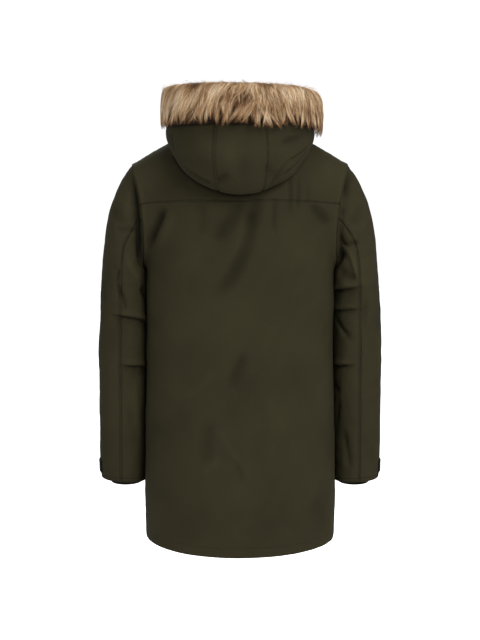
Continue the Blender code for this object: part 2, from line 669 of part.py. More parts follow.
def make_rib_cuff(side, hand, points, normals, angles, rows, parts):
    """A knitted tube, sewn inside the sleeve and drawn in round the wrist."""
    sewn = int(np.argmin(np.abs(rows - CUFF_ROW)))
    seat = points[sewn] - normals[sewn] * (WALL + SEAT_GAP)
    turn = np.radians(angles)
    heights = np.array([row[0] for row in CUFF_SECTIONS])
    loops = [seat]
    for z in heights:
        size = {c: read(CUFF_SECTIONS[::-1], CUFF_COLUMNS, c, z) for c in CUFF_COLUMNS[1:]}
        x = hand * (size["centre_x"] + size["half_width"] * np.cos(turn))
        y = CUFF_CENTRE_Y + size["depth"] * np.sin(turn)
        loops.append(np.stack([x, y, z + 0 * x], axis=-1))
    outside = np.stack(loops)
    outward = grid_normals(outside, ring=True) * -hand
    outward[0] = normals[sewn]
    inside = outside - outward * RIB_WALL
    profile = np.concatenate([outside, inside[::-1]])
    ring_loft(f"rib_cuff_{side}", profile.transpose(1, 0, 2), True, "rib", parts)


def make_cuff_tab(side, points, normals, angles, rows, parts):
    """A tab that lies on the sleeve end, made from the sleeve's own points."""
    chosen_rows = [int(np.argmin(np.abs(rows - r))) for r in TAB_ROWS]
    columns = [int(np.argmin(np.abs(angles - a))) for a in TAB_ANGLES]
    under = points[np.ix_(chosen_rows, columns)]
    outward = normals[np.ix_(chosen_rows, columns)]
    face = under + outward * (SEAT_GAP + TAB_THICKNESS)
    cloth_panel(f"cuff_tab_{side}", face, outward, (), "cuff_tab", parts, wall=TAB_THICKNESS)


def make_hood(grids, parts):
    """Three panels of one laid down hood, kept clear of the shoulders under it."""
    shoulders = slice(len(LOWER_ROWS) - 1, None)
    under = tree_of([(grids["back"][0][shoulders], True), (grids["front"][0][shoulders], False)])
    left = np.array(HOOD_SIDE_ANGLES)
    angles = np.concatenate([-left[::-1], HOOD_CENTRE_ANGLES[1:-1], left])
    along = np.array(HOOD_ALONG)
    points = hood_surface(angles[None, :], along[:, None])
    points[1:-3] = clear_of(points[1:-3], under, HOOD_CLEARANCE)
    normals = -grid_normals(points)
    side = len(left)
    centre_end = side + len(HOOD_CENTRE_ANGLES) - 2
    for name, columns, edges in (
        ("hood_right", slice(0, side), ("end",)),
        ("hood_centre", slice(side - 1, centre_end + 1), ("start", "end")),
        ("hood_left", slice(centre_end, None), ("start",)),
    ):
        cloth_panel(name, points[:, columns], normals[:, columns], edges, "shell", parts)
    return points, angles


def make_fur(hood, angles, parts):
    """One thick strip of fur, seated on the hood's rim and hanging over its outside."""
    rim = hood[-1]
    up = unit(rim - hood[-2])
    bearing = np.radians(angles)
    radial = np.stack([np.sin(bearing), np.cos(bearing), 0 * bearing], axis=-1)
    out = unit(radial - up * np.sum(radial * up, axis=-1, keepdims=True))
    scale = {c: read(FUR_SIZES, FUR_SIZE_COLUMNS, c, np.abs(angles)) for c in FUR_SIZE_COLUMNS[1:]}
    loops = []
    for j, angle in enumerate(angles):
        loop = []
        for k, (a, b) in enumerate(FUR_SECTION):
            lump = FUR_LUMP * (math.sin(0.19 * angle + 1.3 * k) + math.sin(0.41 * angle - 2.1 * k)) / 2
            free = 0 if k in (0, len(FUR_SECTION) - 1, len(FUR_SECTION) - 2) else 1
            thick = scale["outward"][j] if a > 0.003 else 1.0
            thick = scale["inward"][j] if a < -0.006 else thick
            rise = scale["upward"][j] if b > 0 else 1.0
            loop.append(
                rim[j]
                + out[j] * (a * thick + free * lump * math.copysign(1, a))
                + up[j] * (b * rise + free * lump * (1 if b > 0.05 else 0))
            )
        loops.append(loop)
    ring_loft("fur_trim", np.array(loops), False, "fur", parts)


# ---- Zip slider and its pull tab ----


def add_box(name, size, place, parent, group):
    bpy.ops.mesh.primitive_cube_add(size=1)
    return adopt(name, size, place, parent, group)


def add_rod(name, radius, length, place, parent, group):
    """A rod along its parent's X axis."""
    bpy.ops.mesh.primitive_cylinder_add(vertices=20, radius=radius, depth=length)
    bpy.context.object.data.transform(Matrix.Rotation(math.pi / 2, 4, "Y"))
    return adopt(name, (1, 1, 1), place, parent, group)


def adopt(name, size, place, parent, group):
    obj = bpy.context.object
    obj.name = name
    obj.data.name = name
    obj.data.transform(Matrix.Diagonal((*size, 1)))
    for collection in obj.users_collection:
        collection.objects.unlink(obj)
    group.objects.link(obj)
    obj.location = place
    obj.parent = parent
    return obj


def joined(obj, operation, tool):
    change = obj.modifiers.new(tool.name, "BOOLEAN")
    change.operation = operation
    change.solver = "EXACT"
    change.object = tool
    tool.hide_render = True
    tool.display_type = "WIRE"


def make_slider(grids, levels, parts, cutters):
    """A slider at the top of the zip, and the pull tab hanging from its bridge."""
    points, normals = grids["front"]
    centre = len(ACROSS) - 1
    row = int(np.argmin(np.abs(levels - SLIDER_LEVEL)))
    place = (points[row, centre] + points[row - 1, centre]) / 2
    along = Vector(points[row, centre] - points[row - 1, centre]).normalized()
    across = Vector((1, 0, 0))
    outward = across.cross(along)
    width, thick, length = SLIDER_SIZE
    mount = bpy.data.objects.new("slider_place", None)
    parts.objects.link(mount)
    # local axes: X across, Y into the garment, Z up along the zip
    frame = Matrix((across, -outward, along)).transposed().to_4x4()
    sunk = -TAPE_DEPTH + SEAT_GAP + thick / 2
    mount.matrix_world = Matrix.Translation(Vector(place) + outward * sunk) @ frame
    slider = add_box("zip_slider", SLIDER_SIZE, (0, 0, 0), mount, parts)
    bevel = slider.modifiers.new("soft edges", "BEVEL")
    bevel.width = 0.0008
    bevel.segments = 1
    pin_y = -(thick / 2 + BRIDGE_HEIGHT)
    pin_z = length / 2 - BRIDGE_DROP
    post_y = pin_y + BRIDGE_POST[1] / 2 - POST_PAST_PIN
    for name, side in (("right", -1), ("left", 1)):
        post_place = (side * BRIDGE_HALF_SPAN, post_y, pin_z)
        post = add_box(f"bridge_post_{name}", BRIDGE_POST, post_place, mount, cutters)
        joined(slider, "UNION", post)
    pin = add_rod("bridge_pin", BRIDGE_PIN_RADIUS, 2 * BRIDGE_HALF_SPAN, (0, pin_y, pin_z), mount, cutters)
    joined(slider, "UNION", pin)
    slider.data.materials.append(material_of("zip_metal"))

    hinge = bpy.data.objects.new("pull_tab_hinge", None)
    parts.objects.link(hinge)
    hinge.parent = mount
    hinge.location = (0, pin_y, pin_z)
    tab = add_rod("zip_pull_tab", EYE_OUTER_RADIUS, EYE_WIDTH, (0, 0, 0), hinge, parts)
    neck = add_box("tab_neck", TAB_NECK, (0, 0, -NECK_TOP - TAB_NECK[2] / 2), hinge, cutters)
    plate = add_box("tab_plate", TAB_PLATE, (0, 0, -PLATE_TOP - TAB_PLATE[2] / 2), hinge, cutters)
    hole = add_rod("tab_eye_hole", EYE_INNER_RADIUS, 4 * EYE_WIDTH, (0, 0, 0), hinge, cutters)
    joined(tab, "UNION", neck)
    joined(tab, "UNION", plate)
    joined(tab, "DIFFERENCE", hole)
    tab.data.materials.append(material_of("zip_metal"))
    bpy.context.view_layer.update()
    print("pull tab hinge at", tuple(round(v, 5) for v in hinge.matrix_world.translation))
    print("zip direction", tuple(round(v, 4) for v in along))


def main():
    for obj in list(bpy.data.objects):
        bpy.data.objects.remove(obj, do_unlink=True)
    parts = bpy.data.collections.new("fur_trimmed_parka")
    cutters = bpy.data.collections.new("cutters")
    cutters.hide_render = True
    bpy.context.scene.collection.children.link(parts)
    bpy.context.scene.collection.children.link(cutters)
    grids, levels = make_body(parts)
    make_zip_tapes(grids, parts)
    for hand in (1, -1):
        make_sleeve(hand, parts)
    hood, angles = make_hood(grids, parts)
    make_fur(hood, angles, parts)
    make_slider(grids, levels, parts, cutters)


main()
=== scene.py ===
# %% [markdown]
# # A parka with a fur trimmed hood
#
# The coat is filled out as if worn, with its hood laid down on the back. Its construction is
# already settled in the frame: every cloth piece, its seams and the zip's pull tab have
# their size and place there. This lesson makes the looks: finer cloth on the same forms,
# with creases, seams and stitches, knitted cuffs, a zip, and fur made of real hairs.
# The front faces -Y, the back +Y, +Z is up and +X is the wearer's left. Sizes are metres.

# %% Load the frame
import math

import bmesh
import bpy
import numpy as np
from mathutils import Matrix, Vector
from mathutils.bvhtree import BVHTree


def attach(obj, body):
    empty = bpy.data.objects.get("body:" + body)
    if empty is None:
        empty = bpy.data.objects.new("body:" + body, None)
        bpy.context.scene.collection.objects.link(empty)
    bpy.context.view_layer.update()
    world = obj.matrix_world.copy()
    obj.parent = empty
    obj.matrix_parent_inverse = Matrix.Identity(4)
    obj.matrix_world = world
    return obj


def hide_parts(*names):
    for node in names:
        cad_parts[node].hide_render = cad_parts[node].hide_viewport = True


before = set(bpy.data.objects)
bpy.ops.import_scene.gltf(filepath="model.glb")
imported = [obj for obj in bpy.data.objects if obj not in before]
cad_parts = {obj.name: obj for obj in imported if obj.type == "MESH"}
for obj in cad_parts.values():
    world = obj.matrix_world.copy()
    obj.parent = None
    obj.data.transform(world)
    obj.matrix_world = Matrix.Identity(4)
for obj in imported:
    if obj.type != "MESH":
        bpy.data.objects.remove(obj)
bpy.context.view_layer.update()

# %% [markdown]
# ## Small helpers
#
# Node trees and meshes are both built from code, so a few short helpers keep every later
# cell readable. They add a node with its settings and links, start a material, and put an
# object in the scene.

# %% Helpers for nodes, materials and objects


def wire(node, inputs):
    """Gives each input of a node its value, or links the socket that feeds it."""
    for key, value in inputs.items():
        if isinstance(value, bpy.types.NodeSocket):
            node.id_data.links.new(value, node.inputs[key])
        else:
            node.inputs[key].default_value = value


def add(tree, kind, settings=None, inputs=None):
    """A new node with its settings and its inputs."""
    node = tree.nodes.new(kind)
    for name, value in (settings or {}).items():
        setattr(node, name, value)
    wire(node, inputs or {})
    return node


def maths(tree, operation, *values):
    """The output of a Math node on those values or sockets."""
    inputs = dict(enumerate(values))
    return add(tree, "ShaderNodeMath", {"operation": operation}, inputs).outputs[0]


def new_material(name):
    material = bpy.data.materials.new(name)
    material.use_nodes = True
    tree = material.node_tree
    return material, tree, tree.nodes["Principled BSDF"]


def in_scene(name, data):
    obj = bpy.data.objects.new(name, data)
    bpy.context.scene.collection.objects.link(obj)
    return obj


def mesh_object(name, points, faces, material):
    mesh = bpy.data.meshes.new(name)
    mesh.from_pydata([tuple(p) for p in points], [], faces)
    mesh.materials.append(material)
    return in_scene(name, mesh)


def triangles(obj):
    obj.data.calc_loop_triangles()
    return len(obj.data.loop_triangles)

# %% [markdown]
# ## Camera and studio
#
# A catalogue picture of a coat uses a long lens from a few metres away, a little above the
# middle, so that the outline stays true. The light is large and soft, a bit stronger from
# one side, because dark cloth shows its folds only where the light comes across them.

# %% Camera and lights
CAMERA_PLACE = (0, 3.2, -0.035)
CAMERA_AIM = (0, 0, -0.367)
LENS_MM = 84.0
FILM_MM = 36
LIGHT_AIM = (0, 0, -0.4)
LIGHTS = (  # name, place, size, power
    ("key", (-1.7, 2.7, 1.6), 1.8, 86),
    ("top", (0.0, 0.9, 2.4), 1.2, 26),
    ("side", (2.4, 2.0, 0.6), 1.6, 12),
    ("front", (0.5, -2.9, 1.3), 1.8, 62),
)


def look_from(obj, place, target):
    """Puts a camera or a lamp at a place and turns it to a target."""
    obj.location = place
    way = Vector(target) - Vector(place)
    obj.rotation_euler = way.to_track_quat("-Z", "Y").to_euler()


camera = in_scene("camera", bpy.data.cameras.new("camera"))
look_from(camera, CAMERA_PLACE, CAMERA_AIM)
camera.data.lens = LENS_MM
camera.data.sensor_width = FILM_MM
bpy.context.scene.camera = camera
bpy.context.scene.view_settings.view_transform = "Standard"
for name, place, size, power in LIGHTS:
    light = bpy.data.lights.new(name, "AREA")
    light.shape = "DISK"
    light.size = size
    light.energy = power
    look_from(in_scene(name, light), place, LIGHT_AIM)

# %% The room's light and the pale floor, well below the hem
FILL_LIGHT = 0.42  # the room's own light
BACKDROP_WHITE = 1.05  # what the camera sees of it, as an overexposed studio wall
FLOOR_Z = -1.45
FLOOR_HALF = 14.0
WHITE = (1, 1, 1, 1)

world = bpy.data.worlds.new("studio")
world.use_nodes = True
seen = add(world.node_tree, "ShaderNodeLightPath").outputs["Is Camera Ray"]
levels = {"Value": seen, "To Min": FILL_LIGHT, "To Max": BACKDROP_WHITE}
strength = add(world.node_tree, "ShaderNodeMapRange", inputs=levels).outputs["Result"]
wire(world.node_tree.nodes["Background"], {"Color": WHITE, "Strength": strength})
bpy.context.scene.world = world

floor_paint, tree, shader = new_material("pale_floor")
glow = add(tree, "ShaderNodeLightPath").outputs["Is Camera Ray"]
wire(shader, {"Base Color": (0.95, 0.95, 0.95, 1), "Roughness": 0.9})
wire(shader, {"Emission Color": WHITE, "Emission Strength": glow})
floor_ways = ((-1, -1), (1, -1), (1, 1), (-1, 1))
corners = [(x * FLOOR_HALF, y * FLOOR_HALF, FLOOR_Z) for x, y in floor_ways]
mesh_object("floor", corners, [(0, 1, 2, 3)], floor_paint)

# %% [markdown]
# ## The sizes of the coat
#
# These are the same tables that the frame's solids were made from: a row for each section
# of the body, the sleeves and the hood. The finer cloth reads the same curves at more
# places, so it lies exactly where the solids are.

# %% Written tables, and smooth curves through them


def numbers(text):
    """A written block of numbers as an array with a row for each line."""
    return np.array([[float(v) for v in line.split()] for line in text.strip().splitlines()])


def table(text):
    """A written table as its columns, which its first line names."""
    names, rows = text.strip().split("\n", 1)
    return dict(zip(names.split(), numbers(rows).T))


def through(stations, values, at):
    """Smooth curve through rows of values, one row for each station, read at `at`."""
    slopes = np.gradient(values, stations, axis=0)
    at = np.clip(np.asarray(at, float), stations[0], stations[-1])
    low = np.clip(np.searchsorted(stations, at, side="right") - 1, 0, len(stations) - 2)
    width = stations[low + 1] - stations[low]
    t = (at - stations[low]) / width

    def pick(rows, index):
        if rows.ndim == 1:
            return rows[index]
        return np.take_along_axis(rows, index[None], axis=0)[0]

    start = pick(values, low) * (2 * t**3 - 3 * t**2 + 1)
    end = pick(values, low + 1) * (3 * t**2 - 2 * t**3)
    leave = pick(slopes, low) * width * (t**3 - 2 * t**2 + t)
    arrive = pick(slopes, low + 1) * width * (t**3 - t**2)
    return start + end + leave + arrive


def read(rows, column, at):
    """A column of a table as a smooth curve of its first column, read at `at`."""
    return through(next(iter(rows.values())), rows[column], at)


def section(rows, at):
    """Every column of a table but its first, read at `at`."""
    return {column: read(rows, column, at) for column in list(rows)[1:]}


def smoothstep(low, high, x):
    t = np.clip((np.asarray(x, float) - low) / (high - low), 0, 1)
    return t * t * (3 - 2 * t)


def unit(vectors):
    return vectors / np.maximum(np.linalg.norm(vectors, axis=-1, keepdims=True), 1e-12)

# %% Body, neck and sleeve sections
WALL = 0.004  # shell, padding and lining, quilted together
RIB_WALL = 0.003
SEAM_GAP = 0.0003
SEAT_GAP = 0.0003
HOOD_CLEARANCE = 0.0030
HANDS = ((1, "left"), (-1, "right"))
FACES = {1: "back", -1: "front"}

SHOULDER_TIP_X = 0.232
SHOULDER_TIP_Z = -0.036
ARMPIT_X = 0.2025
ARMPIT_Z = -0.257
HEM_SIDE_Z = -0.835
BACK_HEM_DROP = 0.014
ARMHOLE_DEPTH = {"back": 0.075, "front": 0.070}
YOKE_SEAM_ANGLE = 105.0
SHOULDER_SLOPE = {"back": 0.15, "front": 0.35}
SHOULDER_FULLNESS = (0.38, 0.32)  # how far the upper curve runs on from its two ends
BACK_CENTRE_LIFT = 0.011
SHOULDER_TURN = 46.0
EDGE_HOLD = 1.5
FULL_OVAL = 0.84
HEM_OVAL = 0.97
HEM_REACH = 0.35  # how far up, in levels, the section changes from the hem's

BODY_SECTIONS = table("""
height half_width back front
-0.835 0.2050 0.163 0.158
-0.780 0.2065 0.161 0.157
-0.680 0.2055 0.157 0.154
-0.560 0.2030 0.151 0.151
-0.450 0.2015 0.147 0.149
-0.350 0.2008 0.147 0.147
-0.290 0.2000 0.149 0.146
-0.257 0.2000 0.150 0.145
-0.190 0.2015 0.150 0.142
-0.118 0.2050 0.1435 0.133
""")
NECK_STATION = 0.42
NECK_HALF_WIDTH = 0.090
NECK_DEPTH = {"back": 0.078, "front": 0.088}
NECK_SIDE_Z = 0.041
NECK_CENTRE_Z = {"back": 0.030, "front": -0.030}

SLEEVE_SECTIONS = table("""
station inner_x inner_z outer_x outer_z depth centre_y
0.0 0.2025 -0.2570 0.2320 -0.0360 0.0725 0.0025
0.5 0.2033 -0.2582 0.2425 -0.0510 0.0740 0.0015
1.0 0.2040 -0.2590 0.2525 -0.0685 0.0755 0.0010
2.0 0.2048 -0.2602 0.2735 -0.1170 0.0780 0.0000
3.0 0.2054 -0.2625 0.2850 -0.1650 0.0790 -0.0010
4.0 0.2055 -0.2665 0.2920 -0.2200 0.0790 -0.0020
5.0 0.2050 -0.2760 0.2962 -0.2700 0.0780 -0.0030
6.0 0.2038 -0.3000 0.2990 -0.3000 0.0765 -0.0040
7.0 0.2030 -0.3450 0.3025 -0.3450 0.0735 -0.0055
8.0 0.2030 -0.4200 0.3050 -0.4200 0.0700 -0.0080
9.0 0.2033 -0.5000 0.3053 -0.5000 0.0675 -0.0110
10.0 0.2052 -0.5900 0.3050 -0.5900 0.0650 -0.0160
11.0 0.2070 -0.6600 0.3045 -0.6600 0.0635 -0.0200
12.0 0.2080 -0.7180 0.3030 -0.7110 0.0620 -0.0230
""")
SLEEVE_SQUARENESS = 0.16
LEAN_OVERLAP = 0.0016  # where a sleeve leans on the body its cloth presses in
CUFF_SECTIONS = numbers("""
-0.680 0.2525 0.0385 0.0490
-0.700 0.2490 0.0345 0.0440
-0.7240 0.2485 0.0335 0.0420
""")  # height, centre x, half width, depth
CUFF_CENTRE_Y = -0.022
CUFF_STATION = 11.0

# %% Hood and fur sections
# the cloth itself is even about the centre, and falls a few millimetres closer than its solid
HOOD_SECTIONS = table("""
angle stand fold_r fold_z belly_r belly_z rim_r rim_z
-30 0.024 0.172 -0.080 0.205 -0.018 0.195 0.046
0 0.026 0.172 -0.104 0.216 -0.030 0.203 0.046
30 0.024 0.172 -0.080 0.205 -0.018 0.195 0.046
60 0.017 0.158 -0.022 0.175 0.008 0.171 0.045
90 0.010 0.148 0.020 0.156 0.030 0.152 0.045
120 0.010 0.130 0.001 0.145 0.020 0.143 0.040
150 0.014 0.118 -0.022 0.130 -0.004 0.128 0.020
170 0.014 0.108 -0.030 0.118 -0.016 0.116 0.000
""")
FOLD_RISE = 0.0095
BELLY_DRAWN_IN = 0.005
HOOD_STATIONS = np.array([0, 0.12, 0.20, 0.40, 0.61, 0.81, 1])
CREST_STATION, FOLD_STATION = HOOD_STATIONS[2], HOOD_STATIONS[4]
CREST_OUT = 0.014
HOOD_LIFT = 0.0012
NAPE = (0.55, -0.004, 0.002)  # its part of the way from crest to fold, then inwards and up
HOOD_END_ANGLE = 162.0
HOOD_SEAM_ANGLE = 15.0

FUR_SIZES = table("""
angle outward inward upward
0 1.0 1.0 1.0
40 0.9 1.0 1.0
70 0.62 0.85 1.0
100 0.62 0.80 0.98
130 0.8 0.90 0.90
162 0.75 0.80 0.80
""")
print("body sections:", len(BODY_SECTIONS["height"]), "sleeve:", len(SLEEVE_SECTIONS["station"]))

# %% [markdown]
# ## The body's surface
#
# A coat body is a tube at the hem that closes over the shoulders and leaves a neck. Each
# point has two numbers: how far across the panel it lies, and its level, which runs from
# the hem (0) past the armpit (1) and the yoke seam (2) up to the shoulder seam (3).

# %% Armhole and body


def armhole(angle, side):
    """A point of the left armhole: angle 0 is the armpit and 180 the shoulder tip."""
    turn = np.radians(angle)
    rise = (1 - np.cos(turn)) / 2
    x = ARMPIT_X + (SHOULDER_TIP_X - ARMPIT_X) * rise**3
    z = ARMPIT_Z + (SHOULDER_TIP_Z - ARMPIT_Z) * rise
    depth = np.where(side > 0, ARMHOLE_DEPTH["back"], ARMHOLE_DEPTH["front"])
    return np.stack([x, side * depth * np.sin(turn), z], axis=-1)


def armhole_normal(angle, side):
    """The direction that the cloth faces on both sides of the left armhole seam."""
    turn = np.radians(angle)
    rise = (1 - np.cos(turn)) / 2
    return unit(np.stack([0.75 * rise**2, side * np.sin(turn), -np.cos(turn)], axis=-1))


def lower_body(across, level, side):
    """Body below the yoke seam. Level 0 is the hem, 1 the armpit and 2 the yoke seam."""
    half = np.abs(across)
    angle = YOKE_SEAM_ANGLE * np.clip(level - 1, 0, 1)
    edge = armhole(angle, side)
    edge_z = np.where(level < 1, HEM_SIDE_Z + (ARMPIT_Z - HEM_SIDE_Z) * level, edge[..., 2])
    # away from the armhole the rows rise evenly
    even_z = ARMPIT_Z + (armhole(YOKE_SEAM_ANGLE, side)[2] - ARMPIT_Z) * (level - 1)
    centre_z = np.where(level < 1, edge_z, even_z)
    row_z = edge_z + (centre_z - edge_z) * (1 - half**3)
    width = read(BODY_SECTIONS, "half_width", edge_z)
    # the sides alone flare out to meet the armhole
    flare = (edge[..., 0] - width) * smoothstep(0.93, 1.0, level) * smoothstep(0.6, 1.0, half)
    edge_x = width + flare
    edge_y = np.abs(edge[..., 1])
    depth = read(BODY_SECTIONS, FACES[side], row_z)
    turned = smoothstep(0, 1, level - 1)
    start = np.radians(SHOULDER_TURN) * turned
    phi = start + (1 - half) * (math.pi / 2 - start)
    # the section is a plain oval at the hem and a fuller one further up
    roundness = FULL_OVAL + (HEM_OVAL - FULL_OVAL) * (1 - smoothstep(0, HEM_REACH, level))
    reach = (np.clip(np.cos(phi), 0, 1) / np.cos(start)) ** roundness
    fullness = roundness + (1 - roundness) * turned
    bulge = np.clip((np.sin(phi) - np.sin(start)) / (1 - np.sin(start)), 0, 1) ** fullness
    drop = BACK_HEM_DROP * (1 - half**1.7) * (1 - smoothstep(0, 0.3, level))
    lift = BACK_CENTRE_LIFT * (1 - half**2) * turned
    x = np.sign(across) * edge_x * reach
    y = side * (depth * bulge + edge_y * (1 - bulge) ** EDGE_HOLD)
    z = row_z + (lift - drop if side > 0 else 0.0)
    return np.stack([x, y, z + 0 * x], axis=-1)


def body_top(across, side):
    """The shoulder seam and neckline that the yoke and the fronts end at."""
    centre_z = NECK_CENTRE_Z[FACES[side]]
    half = np.abs(across)
    along = np.clip((half - NECK_STATION) / (1 - NECK_STATION), 0, 1)
    round_neck = math.pi / 2 * np.clip(half / NECK_STATION, 0, 1)
    fall = 0.76 * along + 0.24 * along**2
    shoulder_x = NECK_HALF_WIDTH + (SHOULDER_TIP_X - NECK_HALF_WIDTH) * along
    shoulder_z = NECK_SIDE_Z + (SHOULDER_TIP_Z - NECK_SIDE_Z) * fall
    neck_z = centre_z + (NECK_SIDE_Z - centre_z) * np.sin(round_neck) ** 2
    on_neck = half <= NECK_STATION
    x = np.sign(across) * np.where(on_neck, NECK_HALF_WIDTH * np.sin(round_neck), shoulder_x)
    y = side * np.where(on_neck, NECK_DEPTH[FACES[side]] * np.cos(round_neck), 0.0)
    z = np.where(on_neck, neck_z, shoulder_z)
    return np.stack([x, y, z], axis=-1)


def upper_body(across, level, side):
    """Yoke or upper front, curving over from level 2 to the shoulder seam at level 3."""
    rise = (level - 2)[..., None]
    step = 0.02
    start = lower_body(across, 2 + 0 * level, side)
    before = lower_body(across, 2 - step + 0 * level, side)
    end = body_top(across, side)
    length = np.linalg.norm(end - start, axis=-1, keepdims=True)
    on_neck = (1 - smoothstep(0, NECK_STATION, np.abs(across)))[..., None]
    at_shoulder = np.array([0, -side, SHOULDER_SLOPE[FACES[side]]])
    arrive = unit(at_shoulder + on_neck * np.array([0, 0.35 * side, 0.9]))
    first = start + unit(start - before) * SHOULDER_FULLNESS[0] * length
    second = end - arrive * SHOULDER_FULLNESS[1] * length
    keep = 1 - rise
    return (
        keep**3 * start
        + 3 * keep**2 * rise * first
        + 3 * keep * rise**2 * second
        + rise**3 * end
    )


def body(across, level, side):
    """A point of the back (side 1) or the front (side -1) of the body."""
    across, level = np.broadcast_arrays(np.asarray(across, float), np.asarray(level, float))
    low = lower_body(across, np.minimum(level, 2), side)
    high = upper_body(across, np.maximum(level, 2), side)
    # the upper curve is drawn onto the armhole as it nears it
    rim = np.sign(across)
    angle = YOKE_SEAM_ANGLE + (180 - YOKE_SEAM_ANGLE) * np.clip(level - 2, 0, 1)
    seam = armhole(angle, side) * np.stack([rim, 1 + 0 * rim, 1 + 0 * rim], axis=-1)
    at_rim = upper_body(rim, np.maximum(level, 2), side)
    pull = smoothstep(0.5, 1.0, np.abs(across))[..., None]
    high = high + pull * (seam - at_rim)
    return np.where((level > 2)[..., None], high, low)

# %% [markdown]
# ## The sleeves and the hood
#
# A sleeve's sections fan out from the armpit and then stack down the arm. A laid down
# hood is one cloth that stands up from the neck seam, rolls over, hangs down the back,
# and comes up again to its rim, so one curve through seven places draws it at each angle.

# %% Sleeve and hood surfaces


def squared(value, power):
    return np.sign(value) * np.abs(value) ** power


def between(size, axis, place):
    """A place across a sleeve's section, from its inner side at -1 to its outer side at 1."""
    inner, outer = size[f"inner_{axis}"], size[f"outer_{axis}"]
    return (inner + outer) / 2 + (outer - inner) / 2 * place


def sleeve_surface(hand, station, angle):
    """A point of a sleeve. Angle 0 is the outer side and 90 the back; hand 1 is the left."""
    station, angle = np.broadcast_arrays(np.asarray(station, float), np.asarray(angle, float))
    size = section(SLEEVE_SECTIONS, station)
    turn = np.radians(angle)
    squareness = 1 - SLEEVE_SQUARENESS * smoothstep(0, 5, station)
    wide, deep = squared(np.cos(turn), squareness), squared(np.sin(turn), squareness)
    # below the armpit the sleeve's inner side rests against the body
    space = size["inner_x"] - read(BODY_SECTIONS, "half_width", size["inner_z"]) + LEAN_OVERLAP
    lean = np.maximum(space, 0) * smoothstep(0.4, 2.6, station)
    lean = lean * smoothstep(0.2, 1.0, -np.cos(turn))
    x, z = between(size, "x", wide) - lean, between(size, "z", wide)
    points = np.stack([x, size["centre_y"] + size["depth"] * deep, z], axis=-1)
    # the first section is the armhole itself, and the next ones follow it less and less
    seam = armhole(180 - np.abs(angle), towards_back(turn))
    head = section(SLEEVE_SECTIONS, 0.0)
    plain_y = head["centre_y"] + head["depth"] * np.sin(turn)
    plain = [between(head, "x", np.cos(turn)), plain_y, between(head, "z", np.cos(turn))]
    points = points + (1 - smoothstep(0, 3, station))[..., None] * (seam - np.stack(plain, axis=-1))
    return points * np.array([hand, 1, 1])


def towards_back(turn):
    """1 over the back half of a sleeve and -1 over its front half."""
    return np.where(np.sin(turn) >= 0, 1.0, -1.0)


def neck_seam(angle):
    """The point of the neckline at that angle from the centre back; positive is left."""
    turn = np.radians(angle)
    back = np.abs(angle) <= 90
    depth = np.where(back, NECK_DEPTH["back"], NECK_DEPTH["front"])
    centre_z = np.where(back, NECK_CENTRE_Z["back"], NECK_CENTRE_Z["front"])
    z = centre_z + (NECK_SIDE_Z - centre_z) * np.sin(turn) ** 2
    return np.stack([NECK_HALF_WIDTH * np.sin(turn), depth * np.cos(turn), z], axis=-1)


def hood_surface(angle, along):
    """A point of the hood, from the neck seam at along 0 to the rim at along 1."""
    angle, along = np.broadcast_arrays(np.asarray(angle, float), np.asarray(along, float))
    size = section(HOOD_SECTIONS, np.abs(angle))
    size["fold_z"] = size["fold_z"] + FOLD_RISE
    size["belly_r"] = size["belly_r"] - BELLY_DRAWN_IN * np.sin(np.radians(angle)) ** 2
    seam = neck_seam(angle)
    neck_r = np.hypot(seam[..., 0], seam[..., 1])
    neck_z = seam[..., 2] + HOOD_LIFT
    crest_r = neck_r + CREST_OUT
    crest_z = neck_z + size["stand"]
    part, nape_in, nape_up = NAPE
    nape_r = crest_r + (size["fold_r"] - crest_r) * part + nape_in
    nape_z = crest_z + (size["fold_z"] - crest_z) * part + nape_up
    below = ("fold", "belly", "rim")
    radii = [neck_r, neck_r + 0.07 * CREST_OUT, crest_r, nape_r, *(size[f"{k}_r"] for k in below)]
    heights = [neck_z, neck_z + 0.7 * size["stand"], crest_z, nape_z]
    heights += [size[f"{k}_z"] for k in below]
    radius = through(HOOD_STATIONS, np.stack(radii), along)
    z = through(HOOD_STATIONS, np.stack(heights), along)
    # near the neck seam the direction follows the neckline's own oval
    bearing = np.arctan2(seam[..., 0], seam[..., 1])
    past_crest = smoothstep(CREST_STATION, FOLD_STATION, along)
    bearing = bearing + (np.radians(angle) - bearing) * past_crest
    return np.stack([radius * np.sin(bearing), radius * np.cos(bearing), z], axis=-1)

# %% [markdown]
# ## Creases
#
# Dense padded cloth falls in few, soft folds: long shallow troughs below the hood and
# across the back, and short sharp laps where an elbow was bent. Each is a line of a table
# in the piece's own sizes: for the body across and up, for a sleeve the way round it and
# up, for the hood the way round and along. A lap stands proud above its line and is sunk
# below it; a trough or a ridge is even on both sides.

